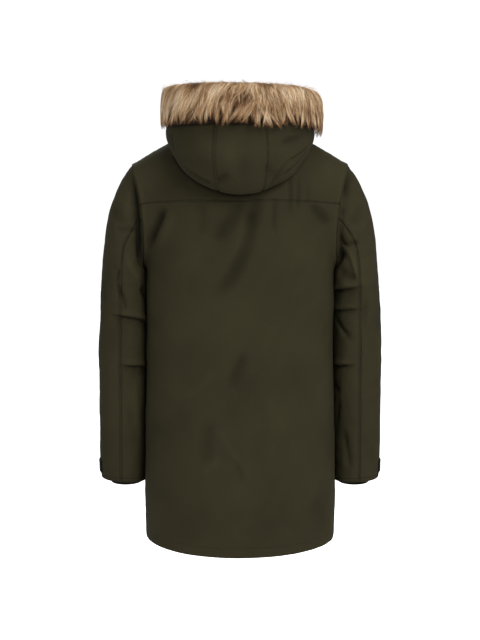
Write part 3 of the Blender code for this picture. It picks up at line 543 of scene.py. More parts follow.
# %% The table of creases
CREASES = {  # kind, u and v of its start, u and v of its end, half width, depth, bow
    # u is +X and v is +Z
    "back": """
trough -0.015 -0.100 0.057 -0.195 0.015 0.0055 0
trough -0.030 -0.105 0.050 -0.311 0.015 0.0060 -0.018
trough -0.040 -0.092 -0.016 -0.160 0.013 0.0042 0
ridge -0.006 -0.125 0.028 -0.240 0.011 0.0020 -0.010
trough -0.071 -0.090 -0.070 -0.179 0.006 0.0034 0
trough -0.102 -0.050 -0.105 -0.132 0.005 0.0036 0
trough -0.120 -0.055 -0.121 -0.131 0.004 0.0030 0
trough -0.138 -0.067 -0.143 -0.124 0.004 0.0022 0
trough -0.146 -0.113 -0.189 -0.159 0.009 0.0052 0
trough 0.157 -0.121 0.197 -0.212 0.008 0.0100 0
ridge 0.137 -0.133 0.175 -0.215 0.009 0.0026 0
trough 0.081 -0.102 0.078 -0.186 0.012 0.0022 0
ridge 0.120 -0.520 0.050 -0.455 0.007 0.0040 0.005
trough -0.010 -0.418 0.020 -0.495 0.011 0.0040 0
ridge 0.055 -0.568 -0.013 -0.664 0.007 0.0026 0.004
ridge 0.080 -0.678 0.044 -0.640 0.007 0.0038 0
trough 0.009 -0.646 -0.006 -0.694 0.008 0.0026 0
trough 0.066 -0.557 0.071 -0.664 0.014 0.0026 0
trough -0.046 -0.519 -0.038 -0.663 0.016 0.0020 0
ridge 0.023 -0.792 -0.025 -0.821 0.010 0.0018 0
trough -0.165 -0.737 -0.188 -0.822 0.012 0.0020 0
""",
    # the same cloth, with folds of its own
    "front": """
trough 0.145 -0.130 0.184 -0.232 0.010 0.0070 0.006
ridge 0.125 -0.140 0.158 -0.230 0.010 0.0024 0
trough -0.140 -0.135 -0.182 -0.230 0.009 0.0060 0
trough 0.060 -0.110 0.088 -0.260 0.014 0.0044 -0.010
trough -0.050 -0.115 -0.086 -0.245 0.013 0.0040 0.008
ridge 0.092 -0.360 0.128 -0.520 0.016 0.0030 0.008
trough 0.052 -0.520 0.092 -0.690 0.018 0.0032 0
trough -0.098 -0.400 -0.128 -0.590 0.017 0.0036 -0.010
ridge -0.058 -0.600 -0.088 -0.740 0.014 0.0026 0
trough 0.150 -0.640 0.130 -0.780 0.018 0.0026 0
""",
    # left sleeve: u is the way round from the outer side towards the back, v is +Z
    "left": """
lap 0.078 -0.349 0.199 -0.373 0.012 0.0060 0.003
lap 0.094 -0.457 0.199 -0.466 0.011 0.0054 0
trough 0.094 -0.252 0.089 -0.283 0.004 0.0048 0
trough 0.089 -0.278 0.112 -0.345 0.005 0.0054 0
trough 0.152 -0.290 0.197 -0.334 0.010 0.0080 0
trough 0.066 -0.168 0.108 -0.172 0.006 0.0040 0
ridge 0.104 -0.226 0.150 -0.288 0.010 0.0058 0
ridge 0.130 -0.505 0.148 -0.625 0.010 0.0030 0
trough 0.108 -0.545 0.124 -0.590 0.006 0.0024 0
trough 0.023 -0.125 0.092 -0.159 0.010 0.0030 0
trough 0.034 -0.270 0.060 -0.330 0.007 0.0026 0
trough -0.010 -0.300 0.020 -0.420 0.016 0.0024 0.006
lap -0.176 -0.345 -0.060 -0.364 0.012 0.0052 -0.004
lap -0.168 -0.436 -0.075 -0.450 0.011 0.0042 0
trough -0.160 -0.372 -0.085 -0.410 0.006 0.0040 0
trough -0.140 -0.520 -0.070 -0.580 0.012 0.0034 0
trough -0.055 -0.140 -0.110 -0.215 0.010 0.0046 0
""",
    # right sleeve: the same, and u runs from the outer side towards the back too
    "right": """
lap 0.199 -0.302 0.092 -0.289 0.012 0.0064 0
lap 0.187 -0.342 0.095 -0.336 0.009 0.0046 0
trough 0.178 -0.350 0.112 -0.404 0.005 0.0064 0
lap 0.199 -0.463 0.108 -0.456 0.010 0.0056 0
trough 0.195 -0.495 0.146 -0.517 0.006 0.0070 0
trough 0.172 -0.250 0.120 -0.212 0.008 0.0090 0
ridge 0.119 -0.208 0.098 -0.280 0.005 0.0044 0
trough 0.151 -0.259 0.106 -0.274 0.012 0.0046 0
trough 0.117 -0.178 0.119 -0.206 0.005 0.0056 0
trough 0.123 -0.204 0.088 -0.195 0.005 0.0046 0
trough 0.094 -0.140 0.084 -0.122 0.005 0.0056 0
trough 0.086 -0.160 0.045 -0.118 0.009 0.0038 0
trough 0.149 -0.537 0.161 -0.590 0.008 0.0050 0.004
trough 0.136 -0.599 0.118 -0.688 0.008 0.0038 0
trough 0.084 -0.317 0.092 -0.381 0.006 0.0026 0
trough 0.015 -0.310 0.050 -0.400 0.013 0.0028 0
lap -0.178 -0.330 -0.062 -0.350 0.012 0.0052 0.004
lap -0.168 -0.424 -0.080 -0.434 0.010 0.0040 0
trough -0.150 -0.360 -0.095 -0.398 0.006 0.0044 0
trough -0.145 -0.520 -0.075 -0.600 0.012 0.0034 0
trough -0.052 -0.150 -0.105 -0.228 0.010 0.0046 0
""",
    # u is the way round from the centre back to the wearer's left, v runs to the rim
    "hood": """
lap 0.112 0.253 0.046 0.236 0.007 0.0050 0
trough 0.044 0.241 0.018 0.259 0.006 0.0046 0
trough 0.152 0.330 0.140 0.272 0.004 0.0034 0
trough 0.170 0.325 0.160 0.275 0.004 0.0024 0
lap -0.168 0.300 -0.078 0.271 0.006 0.0046 0
lap -0.080 0.272 -0.051 0.220 0.006 0.0036 0
lap -0.150 0.283 -0.084 0.247 0.005 0.0044 0
trough -0.121 0.262 -0.080 0.243 0.005 0.0034 0
trough -0.074 0.237 -0.039 0.272 0.006 0.0024 0
trough -0.068 0.312 -0.130 0.322 0.006 0.0040 0
trough 0.000 0.292 -0.010 0.250 0.012 0.0018 0
ridge 0.024 0.319 0.013 0.268 0.012 0.0016 0
trough 0.260 0.280 0.210 0.235 0.008 0.0038 0
trough -0.270 0.285 -0.215 0.240 0.008 0.0040 0
trough 0.330 0.300 0.290 0.240 0.009 0.0034 0
trough -0.335 0.290 -0.300 0.240 0.009 0.0036 0
""",
}
print("creases placed by hand:", sum(len(text.split("\n")) - 2 for text in CREASES.values()))

# %% How creases and armholes shape the cloth
SLEEVE_ROUND = 0.062  # metres of cloth for each radian round a sleeve
HOOD_ROUND = 0.172
HOOD_LENGTH = 0.345
LAP_EDGE = 0.0016  # half the width of a lap's sharp line

# beside its armhole seam a sleeve sinks before it swells out over the arm: how deep it
# sinks at each height of the seam
ARMHOLE_VALLEYS = table("""
height left right
-0.260 0.0 0.0
-0.245 0.0004 0.0004
-0.225 0.0100 0.0046
-0.150 0.0135 0.0036
-0.100 0.0125 0.0036
-0.070 0.0090 0.0090
-0.036 0.0010 0.0020
""")
VALLEY_OUT = {"left": 0.0094, "right": 0.0082}  # of its deepest line, from the seam
FRONT_VALLEY = 0.7
DEEPEST_SLEEVE, DEEPEST_HOOD = -0.0135, -0.0045  # of any crease there
SEAM_RIDGE = 0.0018  # the body's edge stands proud of the same seam
RIDGE_OUT = 0.006


def creases(piece, u, v, facing):
    """How far the cloth of a piece stands out of its plain form, in metres."""
    rise = np.zeros(np.broadcast(u, v).shape)
    flat = np.stack(np.broadcast_arrays(u, v), axis=-1)
    for line in CREASES[piece].strip().splitlines():
        kind, *values = line.split()
        *ends, width, depth, bow = map(float, values)
        start = np.array(ends[:2])
        run = np.array(ends[2:]) - start
        length = np.hypot(*run)
        along = (flat - start) @ run / length**2
        side = ((flat - start) @ np.array([-run[1], run[0]])) / length
        side = side - bow * 4 * np.clip(along, 0, 1) * (1 - np.clip(along, 0, 1))
        away = np.hypot(side, np.maximum(np.maximum(-along, along - 1), 0) * length)
        fade = smoothstep(-0.05, 0.25, along) * (1 - smoothstep(0.7, 1.08, along))
        if kind == "lap":
            # up is positive whichever way the line was written
            up = side if run[0] > 0 else -side
            shape = np.tanh(up / LAP_EDGE) * np.exp(-np.abs(up) / width)
            shape = shape - 0.5 * np.exp(-((up / (1.8 * LAP_EDGE)) ** 2))
        else:
            shape = (1 if kind == "ridge" else -1) * np.exp(-((away / width) ** 2))
        rise += depth * fade * shape
    return rise * facing


def unevenness(points, height, wavelength, seed):
    """Slow, shallow swells that keep a large panel from looking like sheet metal."""
    random = np.random.default_rng(seed)
    waves = np.zeros(points.shape[:-1])
    count = 7
    for _ in range(count):
        direction = unit(random.normal(size=3))
        stretch = random.uniform(0.7, 1.6) * 2 * math.pi / wavelength
        waves += np.sin(points @ direction * stretch + random.uniform(0, 2 * math.pi))
    return height * waves / count**0.5

# %% [markdown]
# ## Cloth with a thickness
#
# A panel is a grid of points with a copy of it one wall inside, joined round its border.
# A flat edge would look cut from board, so the outer face rolls in where it is sewn and
# turns round where it is hemmed, and small puckers gather along the seams. Each panel
# also gets a map of its flat cut, in metres, and a note of how near a seam each point is.

# %% Helpers for grids and for what their points note


def grid_normals(points, ring=False):
    """Normals of a grid of points, from its neighbours each way."""
    down = np.gradient(points, axis=0)
    if ring:
        padded = np.concatenate([points[:, -1:], points, points[:, :1]], axis=1)
        along = (padded[:, 2:] - padded[:, :-2]) / 2
    else:
        along = np.gradient(points, axis=1)
    return unit(np.cross(along, down))


def arc_lengths(points, axis=0):
    """Distance along a line, or along a grid from its first row or its first column."""
    steps = np.linalg.norm(np.diff(points, axis=axis), axis=-1)
    start = np.zeros_like(np.take(steps, [0], axis=axis))
    return np.concatenate([start, np.cumsum(steps, axis=axis)], axis=axis)


def edge_distances(points):
    down, over = arc_lengths(points, 0), arc_lengths(points, 1)
    return {"bottom": down, "top": down[-1:] - down, "start": over, "end": over[:, -1:] - over}


def note(mesh, name, values, vector=False):
    """Notes a value or a vector at every point of a mesh."""
    kind, key = ("FLOAT_VECTOR", "vector") if vector else ("FLOAT", "value")
    mesh.attributes.new(name, kind, "POINT").data.foreach_set(key, np.ravel(values))


def note_cut(mesh, flat):
    """The map of the flat cut; both faces of the cloth share the places of its outer one."""
    corners = np.zeros(len(mesh.loops), int)
    mesh.loops.foreach_get("vertex_index", corners)
    flat = flat.reshape(-1, 2)
    mesh.uv_layers.new(name="cut").data.foreach_set("uv", flat[corners % len(flat)].ravel())


def facing_out(corners, normals, faces):
    """Turns faces that look in; corners are four for each face of the outer side."""
    facing = np.cross(corners[:, 1] - corners[:, 0], corners[:, 3] - corners[:, 0])
    return faces[:, ::-1] if np.sum(facing * normals) < 0 else faces, facing


def smooth(mesh, sharp=None):
    mesh.polygons.foreach_set("use_smooth", np.ones(len(mesh.polygons), bool))
    if sharp is not None:
        mesh.set_sharp_from_angle(angle=math.radians(sharp))

# %% A cloth panel
ROLL_DEPTH = 0.0017
ROLL_WIDTH = 0.0026
HEM_ROUND = 0.0032
HEM_TURN = 0.46  # of the wall, that each face turns in at a hem
PUCKER_HEIGHT = 0.00045
PUCKER_REACH = 0.011
PUCKER_PITCH = 0.013
PUCKER_FROM = 0.003
FAR = 1.0  # the distance of anything that a panel doesn't have, metres
CREASE_HOLD = 0.014  # creases fade out this near a sewn edge
FIRST_ROW = 0.0024  # rows of topstitching, from the edge that they run beside
SECOND_ROW = 0.0088
HEM_ROW = 0.0200
HOOD_ROW = 0.0064
MARK_OF_ROW = {HEM_ROW: "row_hem", FIRST_ROW: "row_1", SECOND_ROW: "row_2", HOOD_ROW: "row_2"}
MARKS = ("from_seam", "row_1", "row_2", "row_hem", "from_hood")

cloth_faces = {}  # the outer face of each panel, for the stitches that lie on it


def cloth(name, grid, edges, material, wall=WALL, seed=1, centre=None, rows=None):
    """A cloth panel as a mesh object, from a grid of (points, normals, rise).

    edges says which are "sewn" and which are a "hem"; rows are its lines of topstitching.
    """
    points, normals, rise = grid
    rise = np.broadcast_to(rise, points.shape[:2])
    away = edge_distances(points)
    roll, turn_in, along_seam = (np.zeros(points.shape[:2]) for _ in range(3))
    marks = {mark: np.full(points.shape[:2], FAR) for mark in MARKS}
    for edge, how in edges.items():
        d = away[edge]
        if how == "sewn":
            roll += ROLL_DEPTH * np.exp(-((d / ROLL_WIDTH) ** 2))
            run = away["start" if edge in ("bottom", "top") else "bottom"]
            uneven = 2.1 * np.sin(run / PUCKER_PITCH * 1.7 + seed)
            wave = np.sin(run / PUCKER_PITCH * 2 * math.pi + uneven)
            roll += PUCKER_HEIGHT * wave * np.exp(-d / PUCKER_REACH) * smoothstep(0, PUCKER_FROM, d)
            along_seam = np.where(d < marks["from_seam"], run, along_seam)
            marks["from_seam"] = np.minimum(marks["from_seam"], d)
        if how == "hem":
            bend = np.clip(1 - d / HEM_ROUND, 0, 1)
            turn_in = np.maximum(turn_in, HEM_TURN * wall * (1 - np.sqrt(1 - bend**2)))
    for edge, distances in (rows or {}).items():
        for distance in distances:
            mark = MARK_OF_ROW[distance]
            marks[mark] = np.minimum(marks[mark], away[edge] - distance)
    outer = points - normals * (roll + turn_in)[..., None]
    inner = points - normals * (wall - turn_in)[..., None]
    height, width = outer.shape[:2]
    count = height * width
    index = np.arange(count).reshape(height, width)
    quads = np.stack([index[:-1, :-1], index[:-1, 1:], index[1:, 1:], index[1:, :-1]], axis=-1)
    quads = quads.reshape(-1, 4)
    border = np.concatenate([index[0, :], index[1:, -1], index[-1, -2::-1], index[-2:0:-1, 0]])
    after = np.roll(border, -1)
    rim = np.stack([after, border, border + count, after + count], axis=-1)
    faces = np.concatenate([quads, quads[:, ::-1] + count, rim])
    corners, ways = outer.reshape(-1, 3)[quads], normals.reshape(-1, 3)[quads[:, 0]]
    faces, facing = facing_out(corners, ways, faces)
    vertices = np.concatenate([outer.reshape(-1, 3), inner.reshape(-1, 3)])
    obj = mesh_object(f"{name}_cloth", vertices, faces.tolist(), material)
    mesh = obj.data
    mesh.materials.append(LINING)
    inside = np.zeros(len(faces), int)
    inside[len(quads) : 2 * len(quads)] = 1
    mesh.polygons.foreach_set("material_index", inside)
    over = away["start"]
    if centre is not None:
        over = over - over[:, centre : centre + 1]
    note_cut(mesh, np.stack([over, away["top"]], axis=-1))
    for mark, values in {**marks, "along_seam": along_seam, "rise": rise}.items():
        note(mesh, mark, np.tile(np.ravel(values), 2))
    smooth(mesh, sharp=65)
    cloth_faces[name] = (outer, normals)
    area = np.sum(np.linalg.norm(facing, axis=-1))
    obj["cut"] = [float(away["start"][:, -1].max()), float(away["bottom"][-1].max()), float(area)]
    print(f"{name}: {triangles(obj)} triangles, cut {obj['cut'][0]:.3f} x {obj['cut'][1]:.3f} m")
    return obj

# %% [markdown]
# ## Finishes for cloth
#
# The shell is a dense, dull olive twill. Seen close it has fine diagonal ribs, seen from
# a step away a slightly uneven dye, and along the seams it is a little rubbed and puckered.
# The weave, the dye and the seam's pucker are node groups, so every cloth here shares them.

# %% Node groups: weave, dye and pucker


def node_group(kind, name, inputs, outputs):
    """An empty node group and its input and output nodes. A word is a socket's kind."""
    tree = bpy.data.node_groups.new(name, f"{kind}NodeTree")
    for way, sockets in (("INPUT", inputs), ("OUTPUT", outputs)):
        for label, value in sockets.items():
            word = value if isinstance(value, str) else "Float" if isinstance(value, float) else "Color"
            socket = tree.interface.new_socket(label, in_out=way, socket_type=f"NodeSocket{word}")
            if word is not value:
                socket.default_value = value
    return tree, tree.nodes.new("NodeGroupInput").outputs, tree.nodes.new("NodeGroupOutput")


def noise(tree, place, scale, detail):
    inputs = {"Vector": place, "Scale": scale, "Detail": detail}
    return add(tree, "ShaderNodeTexNoise", inputs=inputs).outputs["Fac"]


def scaled(tree, vector, factor):
    inputs = {0: vector, "Scale": factor}
    return add(tree, "ShaderNodeVectorMath", {"operation": "SCALE"}, inputs).outputs[0]


def colour_mix(tree, factor, first, second):
    inputs = {"Factor": factor, "A": first, "B": second}
    return add(tree, "ShaderNodeMix", {"data_type": "RGBA"}, inputs).outputs["Result"]


def sine(tree, place, pitch):
    turns = maths(tree, "DIVIDE", place, pitch)
    return maths(tree, "SINE", maths(tree, "MULTIPLY", turns, 2 * math.pi))


def twill_group():
    """Diagonal ribs crossed by fine threads, as a height from 0 to 1."""
    inputs = {"Cut": "Vector", "Rib Pitch": 0.0014, "Thread Pitch": 0.0006}
    tree, given, leave = node_group("Shader", "twill weave", inputs, {"Height": "Float"})
    flat = add(tree, "ShaderNodeSeparateXYZ", inputs={0: given["Cut"]}).outputs
    slant = maths(tree, "MULTIPLY_ADD", flat["Y"], 0.6, flat["X"])
    rib = sine(tree, slant, given["Rib Pitch"])
    thread = sine(tree, flat["Y"], given["Thread Pitch"])
    both = maths(tree, "MULTIPLY_ADD", thread, 0.35, rib)
    wire(leave, {"Height": maths(tree, "MULTIPLY_ADD", both, 0.37, 0.5)})
    return tree


def dye_group():
    """Uneven dye: broad clouds and a fine heather, between a deep and a light tone."""
    inputs = {"Place": "Vector", "Deep": (0.03, 0.03, 0.03, 1), "Light": (0.05, 0.05, 0.05, 1)}
    inputs |= {"Clouds": 7.0, "Heather": 420.0}
    outputs = {"Color": "Color", "Tone": "Float"}
    tree, given, leave = node_group("Shader", "uneven dye", inputs, outputs)
    clouds = noise(tree, given["Place"], given["Clouds"], 3.0)
    heather = noise(tree, given["Place"], given["Heather"], 1.0)
    tone = maths(tree, "MULTIPLY_ADD", heather, 0.45, -0.22)
    tone = maths(tree, "MULTIPLY_ADD", clouds, 1.1, tone)
    tone = maths(tree, "ADD", tone, -0.06)
    wire(leave, {"Color": colour_mix(tree, tone, given["Deep"], given["Light"]), "Tone": tone})
    return tree


def pucker_group():
    """Fine gathers that run across a seam and fade away from it, as a height in metres."""
    inputs = {"From Seam": FAR, "Along Seam": 0.0, "Depth": 0.0006, "Reach": 0.007}
    outputs = {"Height": "Float", "Rubbed": "Float"}
    tree, given, leave = node_group("Shader", "seam pucker", inputs, outputs)
    across = maths(tree, "MULTIPLY", given["From Seam"], 0.22)
    where = add(tree, "ShaderNodeCombineXYZ", inputs={0: given["Along Seam"], 1: across})
    gathers = noise(tree, where.outputs[0], 190.0, 2.0)
    gathered = maths(tree, "SUBTRACT", gathers, 0.5)
    fade = maths(tree, "DIVIDE", given["From Seam"], given["Reach"])
    fade = maths(tree, "EXPONENT", maths(tree, "MULTIPLY", fade, -1.0))
    height = maths(tree, "MULTIPLY", maths(tree, "MULTIPLY", gathered, fade), given["Depth"])
    sharp = maths(tree, "POWER", fade, 6.0)
    wire(leave, {"Height": height, "Rubbed": maths(tree, "MULTIPLY", sharp, gathers)})
    return tree


HEM_FAINT = 0.45  # a hem's row pulls in less than the others
CHANNEL_DEPTH = 0.0007


def bell(tree, across):
    """1 where across is 0, and less the further from it."""
    squared = maths(tree, "MULTIPLY", across, across)
    return maths(tree, "EXPONENT", maths(tree, "MULTIPLY", squared, -1.0))


def stitched_group():
    """The channel that a row of topstitching pulls into the cloth, and its soft shoulders, with the
    seam's own line; the cloth uses its Channel for painted shade there.
    """
    labels = ("First Row", "Second Row", "Hem Row", "Seam")
    inputs = {**{label: FAR for label in labels}, "Width": 0.0010}
    outputs = {"Height": "Float", "Channel": "Float"}
    tree, given, leave = node_group("Shader", "topstitched channel", inputs, outputs)
    total = None
    for label in labels:
        channel = bell(tree, maths(tree, "DIVIDE", given[label], given["Width"]))
        channel = maths(tree, "MULTIPLY", channel, HEM_FAINT if label == "Hem Row" else 1.0)
        total = channel if total is None else maths(tree, "ADD", total, channel)
    height = maths(tree, "MULTIPLY", total, -CHANNEL_DEPTH)
    wire(leave, {"Channel": total, "Height": height})
    return tree


TWILL, DYE, PUCKER, STITCHED = twill_group(), dye_group(), pucker_group(), stitched_group()

# %% The cloth material
# painted shade and light: the cloth's colour darkens where it is sunk and lightens where it stands
# proud, by these amounts for each metre
SUNK_SHADE = 62.0  # how much darker for each metre that the cloth is sunk
PROUD_LIGHT = 34.0
DARKEST = 0.30
HOOD_SHADE = 0.74  # how much darker the cloth is right beside the hood that lies on it
HOOD_SHADE_REACH = 0.0055


def attribute(tree, name):
    return add(tree, "ShaderNodeAttribute", {"attribute_name": name}).outputs["Fac"]


def group_node(tree, group, inputs):
    return add(tree, "ShaderNodeGroup", {"node_tree": group}, inputs).outputs


def finish(tree, shader, colour, roughness, height, specular, strength=1.0, metallic=0.0):
    """The last links and values of every material here."""
    bump = {"Height": height, "Strength": strength, "Distance": 1.0}
    normal = add(tree, "ShaderNodeBump", inputs=bump).outputs["Normal"]
    wire(shader, {"Base Color": colour, "Roughness": roughness, "Normal": normal})
    wire(shader, {"Specular IOR Level": specular, "Metallic": metallic})


def cloth_material(name, deep, light, rubbed, relief, roughness, specular, pitch):
    """Woven cloth: dyed unevenly, ribbed, and puckered and channelled by its seams, with painted shade
    where it is sunk and along its seams, and painted light where it stands proud.
    """
    material, tree, shader = new_material(name)
    cut = add(tree, "ShaderNodeUVMap", {"uv_map": "cut"}).outputs[0]
    place = add(tree, "ShaderNodeTexCoord").outputs["Object"]
    weave = group_node(tree, TWILL, {"Cut": cut, "Rib Pitch": pitch})
    dye = group_node(tree, DYE, {"Place": place, "Deep": (*deep, 1), "Light": (*light, 1)})
    seam = {"From Seam": attribute(tree, "from_seam"), "Along Seam": attribute(tree, "along_seam")}
    pucker = group_node(tree, PUCKER, seam)
    rows = (("First Row", "row_1"), ("Second Row", "row_2"), ("Hem Row", "row_hem"))
    lines = {label: attribute(tree, mark) for label, mark in rows}
    stitched = group_node(tree, STITCHED, {**lines, "Seam": seam["From Seam"]})
    shade = maths(tree, "MULTIPLY_ADD", weave["Height"], 0.24, 0.88)
    # painted shade: the channels of topstitching and the seam lines are darker
    shade = maths(tree, "MULTIPLY_ADD", stitched["Channel"], -0.34, shade)
    # painted shade darkens sunk cloth in its creases and valleys, and painted light brightens what
    # stands proud
    rise = attribute(tree, "rise")
    painted_crease_shade = maths(tree, "MULTIPLY_ADD", maths(tree, "MINIMUM", rise, 0.0), SUNK_SHADE, 1.0)
    painted_ridge_light = maths(tree, "MULTIPLY_ADD", maths(tree, "MAXIMUM", rise, 0.0), PROUD_LIGHT, 1.0)
    painted_shade_and_light = maths(tree, "MULTIPLY", maths(tree, "MAXIMUM", painted_crease_shade, DARKEST), painted_ridge_light)
    shade = maths(tree, "MULTIPLY", shade, painted_shade_and_light)
    off_hood = maths(tree, "MAXIMUM", attribute(tree, "from_hood"), 0.0)
    beside_hood = bell(tree, maths(tree, "DIVIDE", off_hood, HOOD_SHADE_REACH))
    hood_shade = maths(tree, "MULTIPLY_ADD", beside_hood, -HOOD_SHADE, 1.0)
    shade = maths(tree, "MULTIPLY", shade, hood_shade)
    colour = colour_mix(tree, pucker["Rubbed"], scaled(tree, dye["Color"], shade), (*rubbed, 1))
    rough = maths(tree, "MULTIPLY_ADD", dye["Tone"], 0.10, roughness - 0.05)
    height = maths(tree, "MULTIPLY", weave["Height"], relief)
    height = maths(tree, "ADD", height, pucker["Height"])
    height = maths(tree, "ADD", height, stitched["Height"])
    finish(tree, shader, colour, rough, height, specular)
    return material


OLIVE = ((0.0245, 0.0210, 0.0100), (0.0370, 0.0320, 0.0155), (0.041, 0.0365, 0.0195))
DARK_LINING = ((0.0100, 0.0095, 0.0060), (0.0150, 0.0140, 0.0090), (0.018, 0.017, 0.012))
SHELL = cloth_material("olive_twill", *OLIVE, 0.00010, 0.90, 0.10, 0.0014)
LINING = cloth_material("dark_taffeta", *DARK_LINING, 0.00003, 0.62, 0.22, 0.0005)
print("cloth finishes:", SHELL.name, "and", LINING.name)

# %% [markdown]
# ## Back, yoke and fronts
#
# The back panel hangs from a straight yoke, and two fronts meet at the zip. They are one
# surface cut along its seams, so neighbours always share the points of the seam between
# them. The grid is finer beside the seams and the hem, where the cloth rolls in.

# %% Grids of the body
EDGE_STEPS = (0.0012, 0.0028, 0.0050, 0.0080)  # metres of extra rows beside a seam
HALF_PANEL = 0.27  # metres of cloth from the centre to a side seam
SIDE_LENGTH, ARM_LENGTH, YOKE_LENGTH = 0.578, 0.14, 0.16  # metres for each level


def stations(low, high, count, edge_low=None, edge_high=None, extra=()):
    """Even steps, with closer ones beside each end that has a length in metres."""
    values = [*np.linspace(low, high, count), *extra]
    if edge_low is not None:
        values += [low + e * (1 / edge_low) for e in EDGE_STEPS]
    if edge_high is not None:
        values += [high - e * (1 / edge_high) for e in EDGE_STEPS]
    return np.unique(np.round(values, 6))


right_half = stations(0, 1, 62, HALF_PANEL, HALF_PANEL, extra=(NECK_STATION,))
across = np.concatenate([-right_half[:0:-1], right_half])
hem_rows = stations(0, 1, 80, SIDE_LENGTH, extra=(0.030, 0.034, 0.038))
armpit_rows = stations(1, 2, 40, edge_high=ARM_LENGTH)
yoke_rows = stations(2, 3, 28, YOKE_LENGTH, YOKE_LENGTH)
levels = np.concatenate([hem_rows, armpit_rows[1:], yoke_rows[1:]])
armpit_row = len(hem_rows) - 1
yoke_row = armpit_row + len(armpit_rows) - 1


def body_grid(side):
    """Outer points, normals and rise of the back (side 1) or front (side -1)."""
    points = body(across[None, :], levels[:, None], side)
    normals = grid_normals(points) * -side
    facing = smoothstep(0.0, 0.5, side * normals[..., 1])
    away = edge_distances(points)
    beside_arm = np.minimum(away["start"], away["end"])
    held = smoothstep(0, CREASE_HOLD, beside_arm) * smoothstep(0, CREASE_HOLD, away["top"])
    rise = creases(FACES[side], points[..., 0], points[..., 2], facing)
    rise = rise + unevenness(points, 0.0009, 0.16, 5 + side)
    rise = rise + unevenness(points, 0.0004, 0.05, 9 + side)
    # the edge of an armhole stands proud of its seam
    ridge = np.exp(-(((beside_arm - RIDGE_OUT) / RIDGE_OUT) ** 2))
    ridge = ridge * smoothstep(0, 0.004, beside_arm)
    ridge = SEAM_RIDGE * ridge * smoothstep(1.0, 1.3, levels)[:, None]
    rise = rise * held + ridge
    points = points + normals * rise[..., None]
    normals = grid_normals(points) * -side
    above = YOKE_SEAM_ANGLE + (levels - 2) * (180 - YOKE_SEAM_ANGLE)
    angles = np.where(levels < 2, (levels - 1) * YOKE_SEAM_ANGLE, above)
    seam = armhole_normal(angles[armpit_row:], side)
    normals[armpit_row:, -1] = seam
    normals[armpit_row:, 0] = seam * (-1, 1, 1)
    return points, normals, rise


def share(first, second, place):
    """Gives two grids of normals the same ones at a seam."""
    first[place] = second[place] = unit(first[place] + second[place])


back, front = body_grid(1), body_grid(-1)
for column in (0, -1):
    share(back[1], front[1], (slice(None, armpit_row), column))
share(back[1], front[1], (-1, np.abs(across) >= NECK_STATION))
print("body grid:", len(levels), "rows and", len(across), "columns")

# %% Back panel, yoke and fronts
ZIP_OPENING = 0.0065  # from the centre line to each front's edge
ZIP_BLEND = 0.05
BOTH_ROWS = (FIRST_ROW, SECOND_ROW)
middle = len(across) // 2
pieces = {}


def part_of(grid, rows=slice(None), columns=slice(None)):
    return [values[rows, columns] for values in grid]


for name, rows, edges, line, seed in (
    ("back_panel", slice(0, yoke_row + 1), {"bottom": "hem"}, HEM_ROW, 2),
    ("back_yoke", slice(yoke_row, None), {"bottom": "sewn"}, FIRST_ROW, 3),
):
    edges |= {"top": "sewn", "start": "sewn", "end": "sewn"}
    grid = part_of(back, rows)
    pieces[name] = cloth(name, grid, edges, SHELL, seed=seed, centre=middle, rows={"bottom": (line,)})
for name, hand, columns, zip_edge, side_edge in (
    ("front_right", -1, slice(0, middle + 1), "end", "start"),
    ("front_left", 1, slice(middle, None), "start", "end"),
):
    points, normals, rise = part_of(front, columns=columns)
    # the front's edge stands back from the centre line, and the next columns make room for it
    points, beside = points.copy(), np.abs(points[..., 0])
    points[..., 0] = hand * (beside + ZIP_OPENING * np.clip(1 - beside / ZIP_BLEND, 0, 1))
    edges = {"bottom": "hem", "top": "sewn", side_edge: "sewn", zip_edge: "hem"}
    rows = {"bottom": (HEM_ROW,), zip_edge: BOTH_ROWS}
    pieces[name] = cloth(name, (points, normals, rise), edges, SHELL, seed=4, rows=rows)

# %% [markdown]
# ## Sleeves
#
# Each sleeve is sewn from two pieces, an outer and an under one, with a seam down its
# back and one down its front. The rows are closest where the elbow folds lie, because a
# sharp fold needs several rows within a couple of millimetres.

# %% Sleeve cloth
SLEEVE_STEP = 6.0  # degrees between columns, and half as much over the back
SLEEVE_SEAM_STEPS = (1.2, 2.8, 4.8)  # degrees beside a seam
ELBOW_BANDS = ((-0.276, -0.314), (-0.328, -0.384), (-0.420, -0.476))
ELBOW_STEP = 0.0022
CLOSEST_ROWS = 0.012  # in stations


def sleeve_rows():
    """Stations from the armhole to the sleeve hem, close together at the elbow folds."""
    rows = [*np.linspace(0, 6, 44), *np.linspace(0, 1.4, 13), 0.03, 0.07]
    rows += [*np.linspace(6, 12, 62), 11.98, 11.95, 11.90, 11.84]
    for top, bottom in ELBOW_BANDS:
        heights = np.arange(bottom, top, ELBOW_STEP)
        rows += [*np.interp(-heights, -SLEEVE_SECTIONS["inner_z"], SLEEVE_SECTIONS["station"])]
    rows = np.unique(np.round(rows, 4))
    return rows[np.concatenate([[True], np.diff(rows) > CLOSEST_ROWS])]


def tube_normals(points, hand):
    """Normals of a sleeve's grid, whose first and last columns are one line."""
    normals = grid_normals(points) * -hand
    normals[:, 0] = normals[:, -1] = unit(normals[:, 0] + normals[:, -1])
    return normals


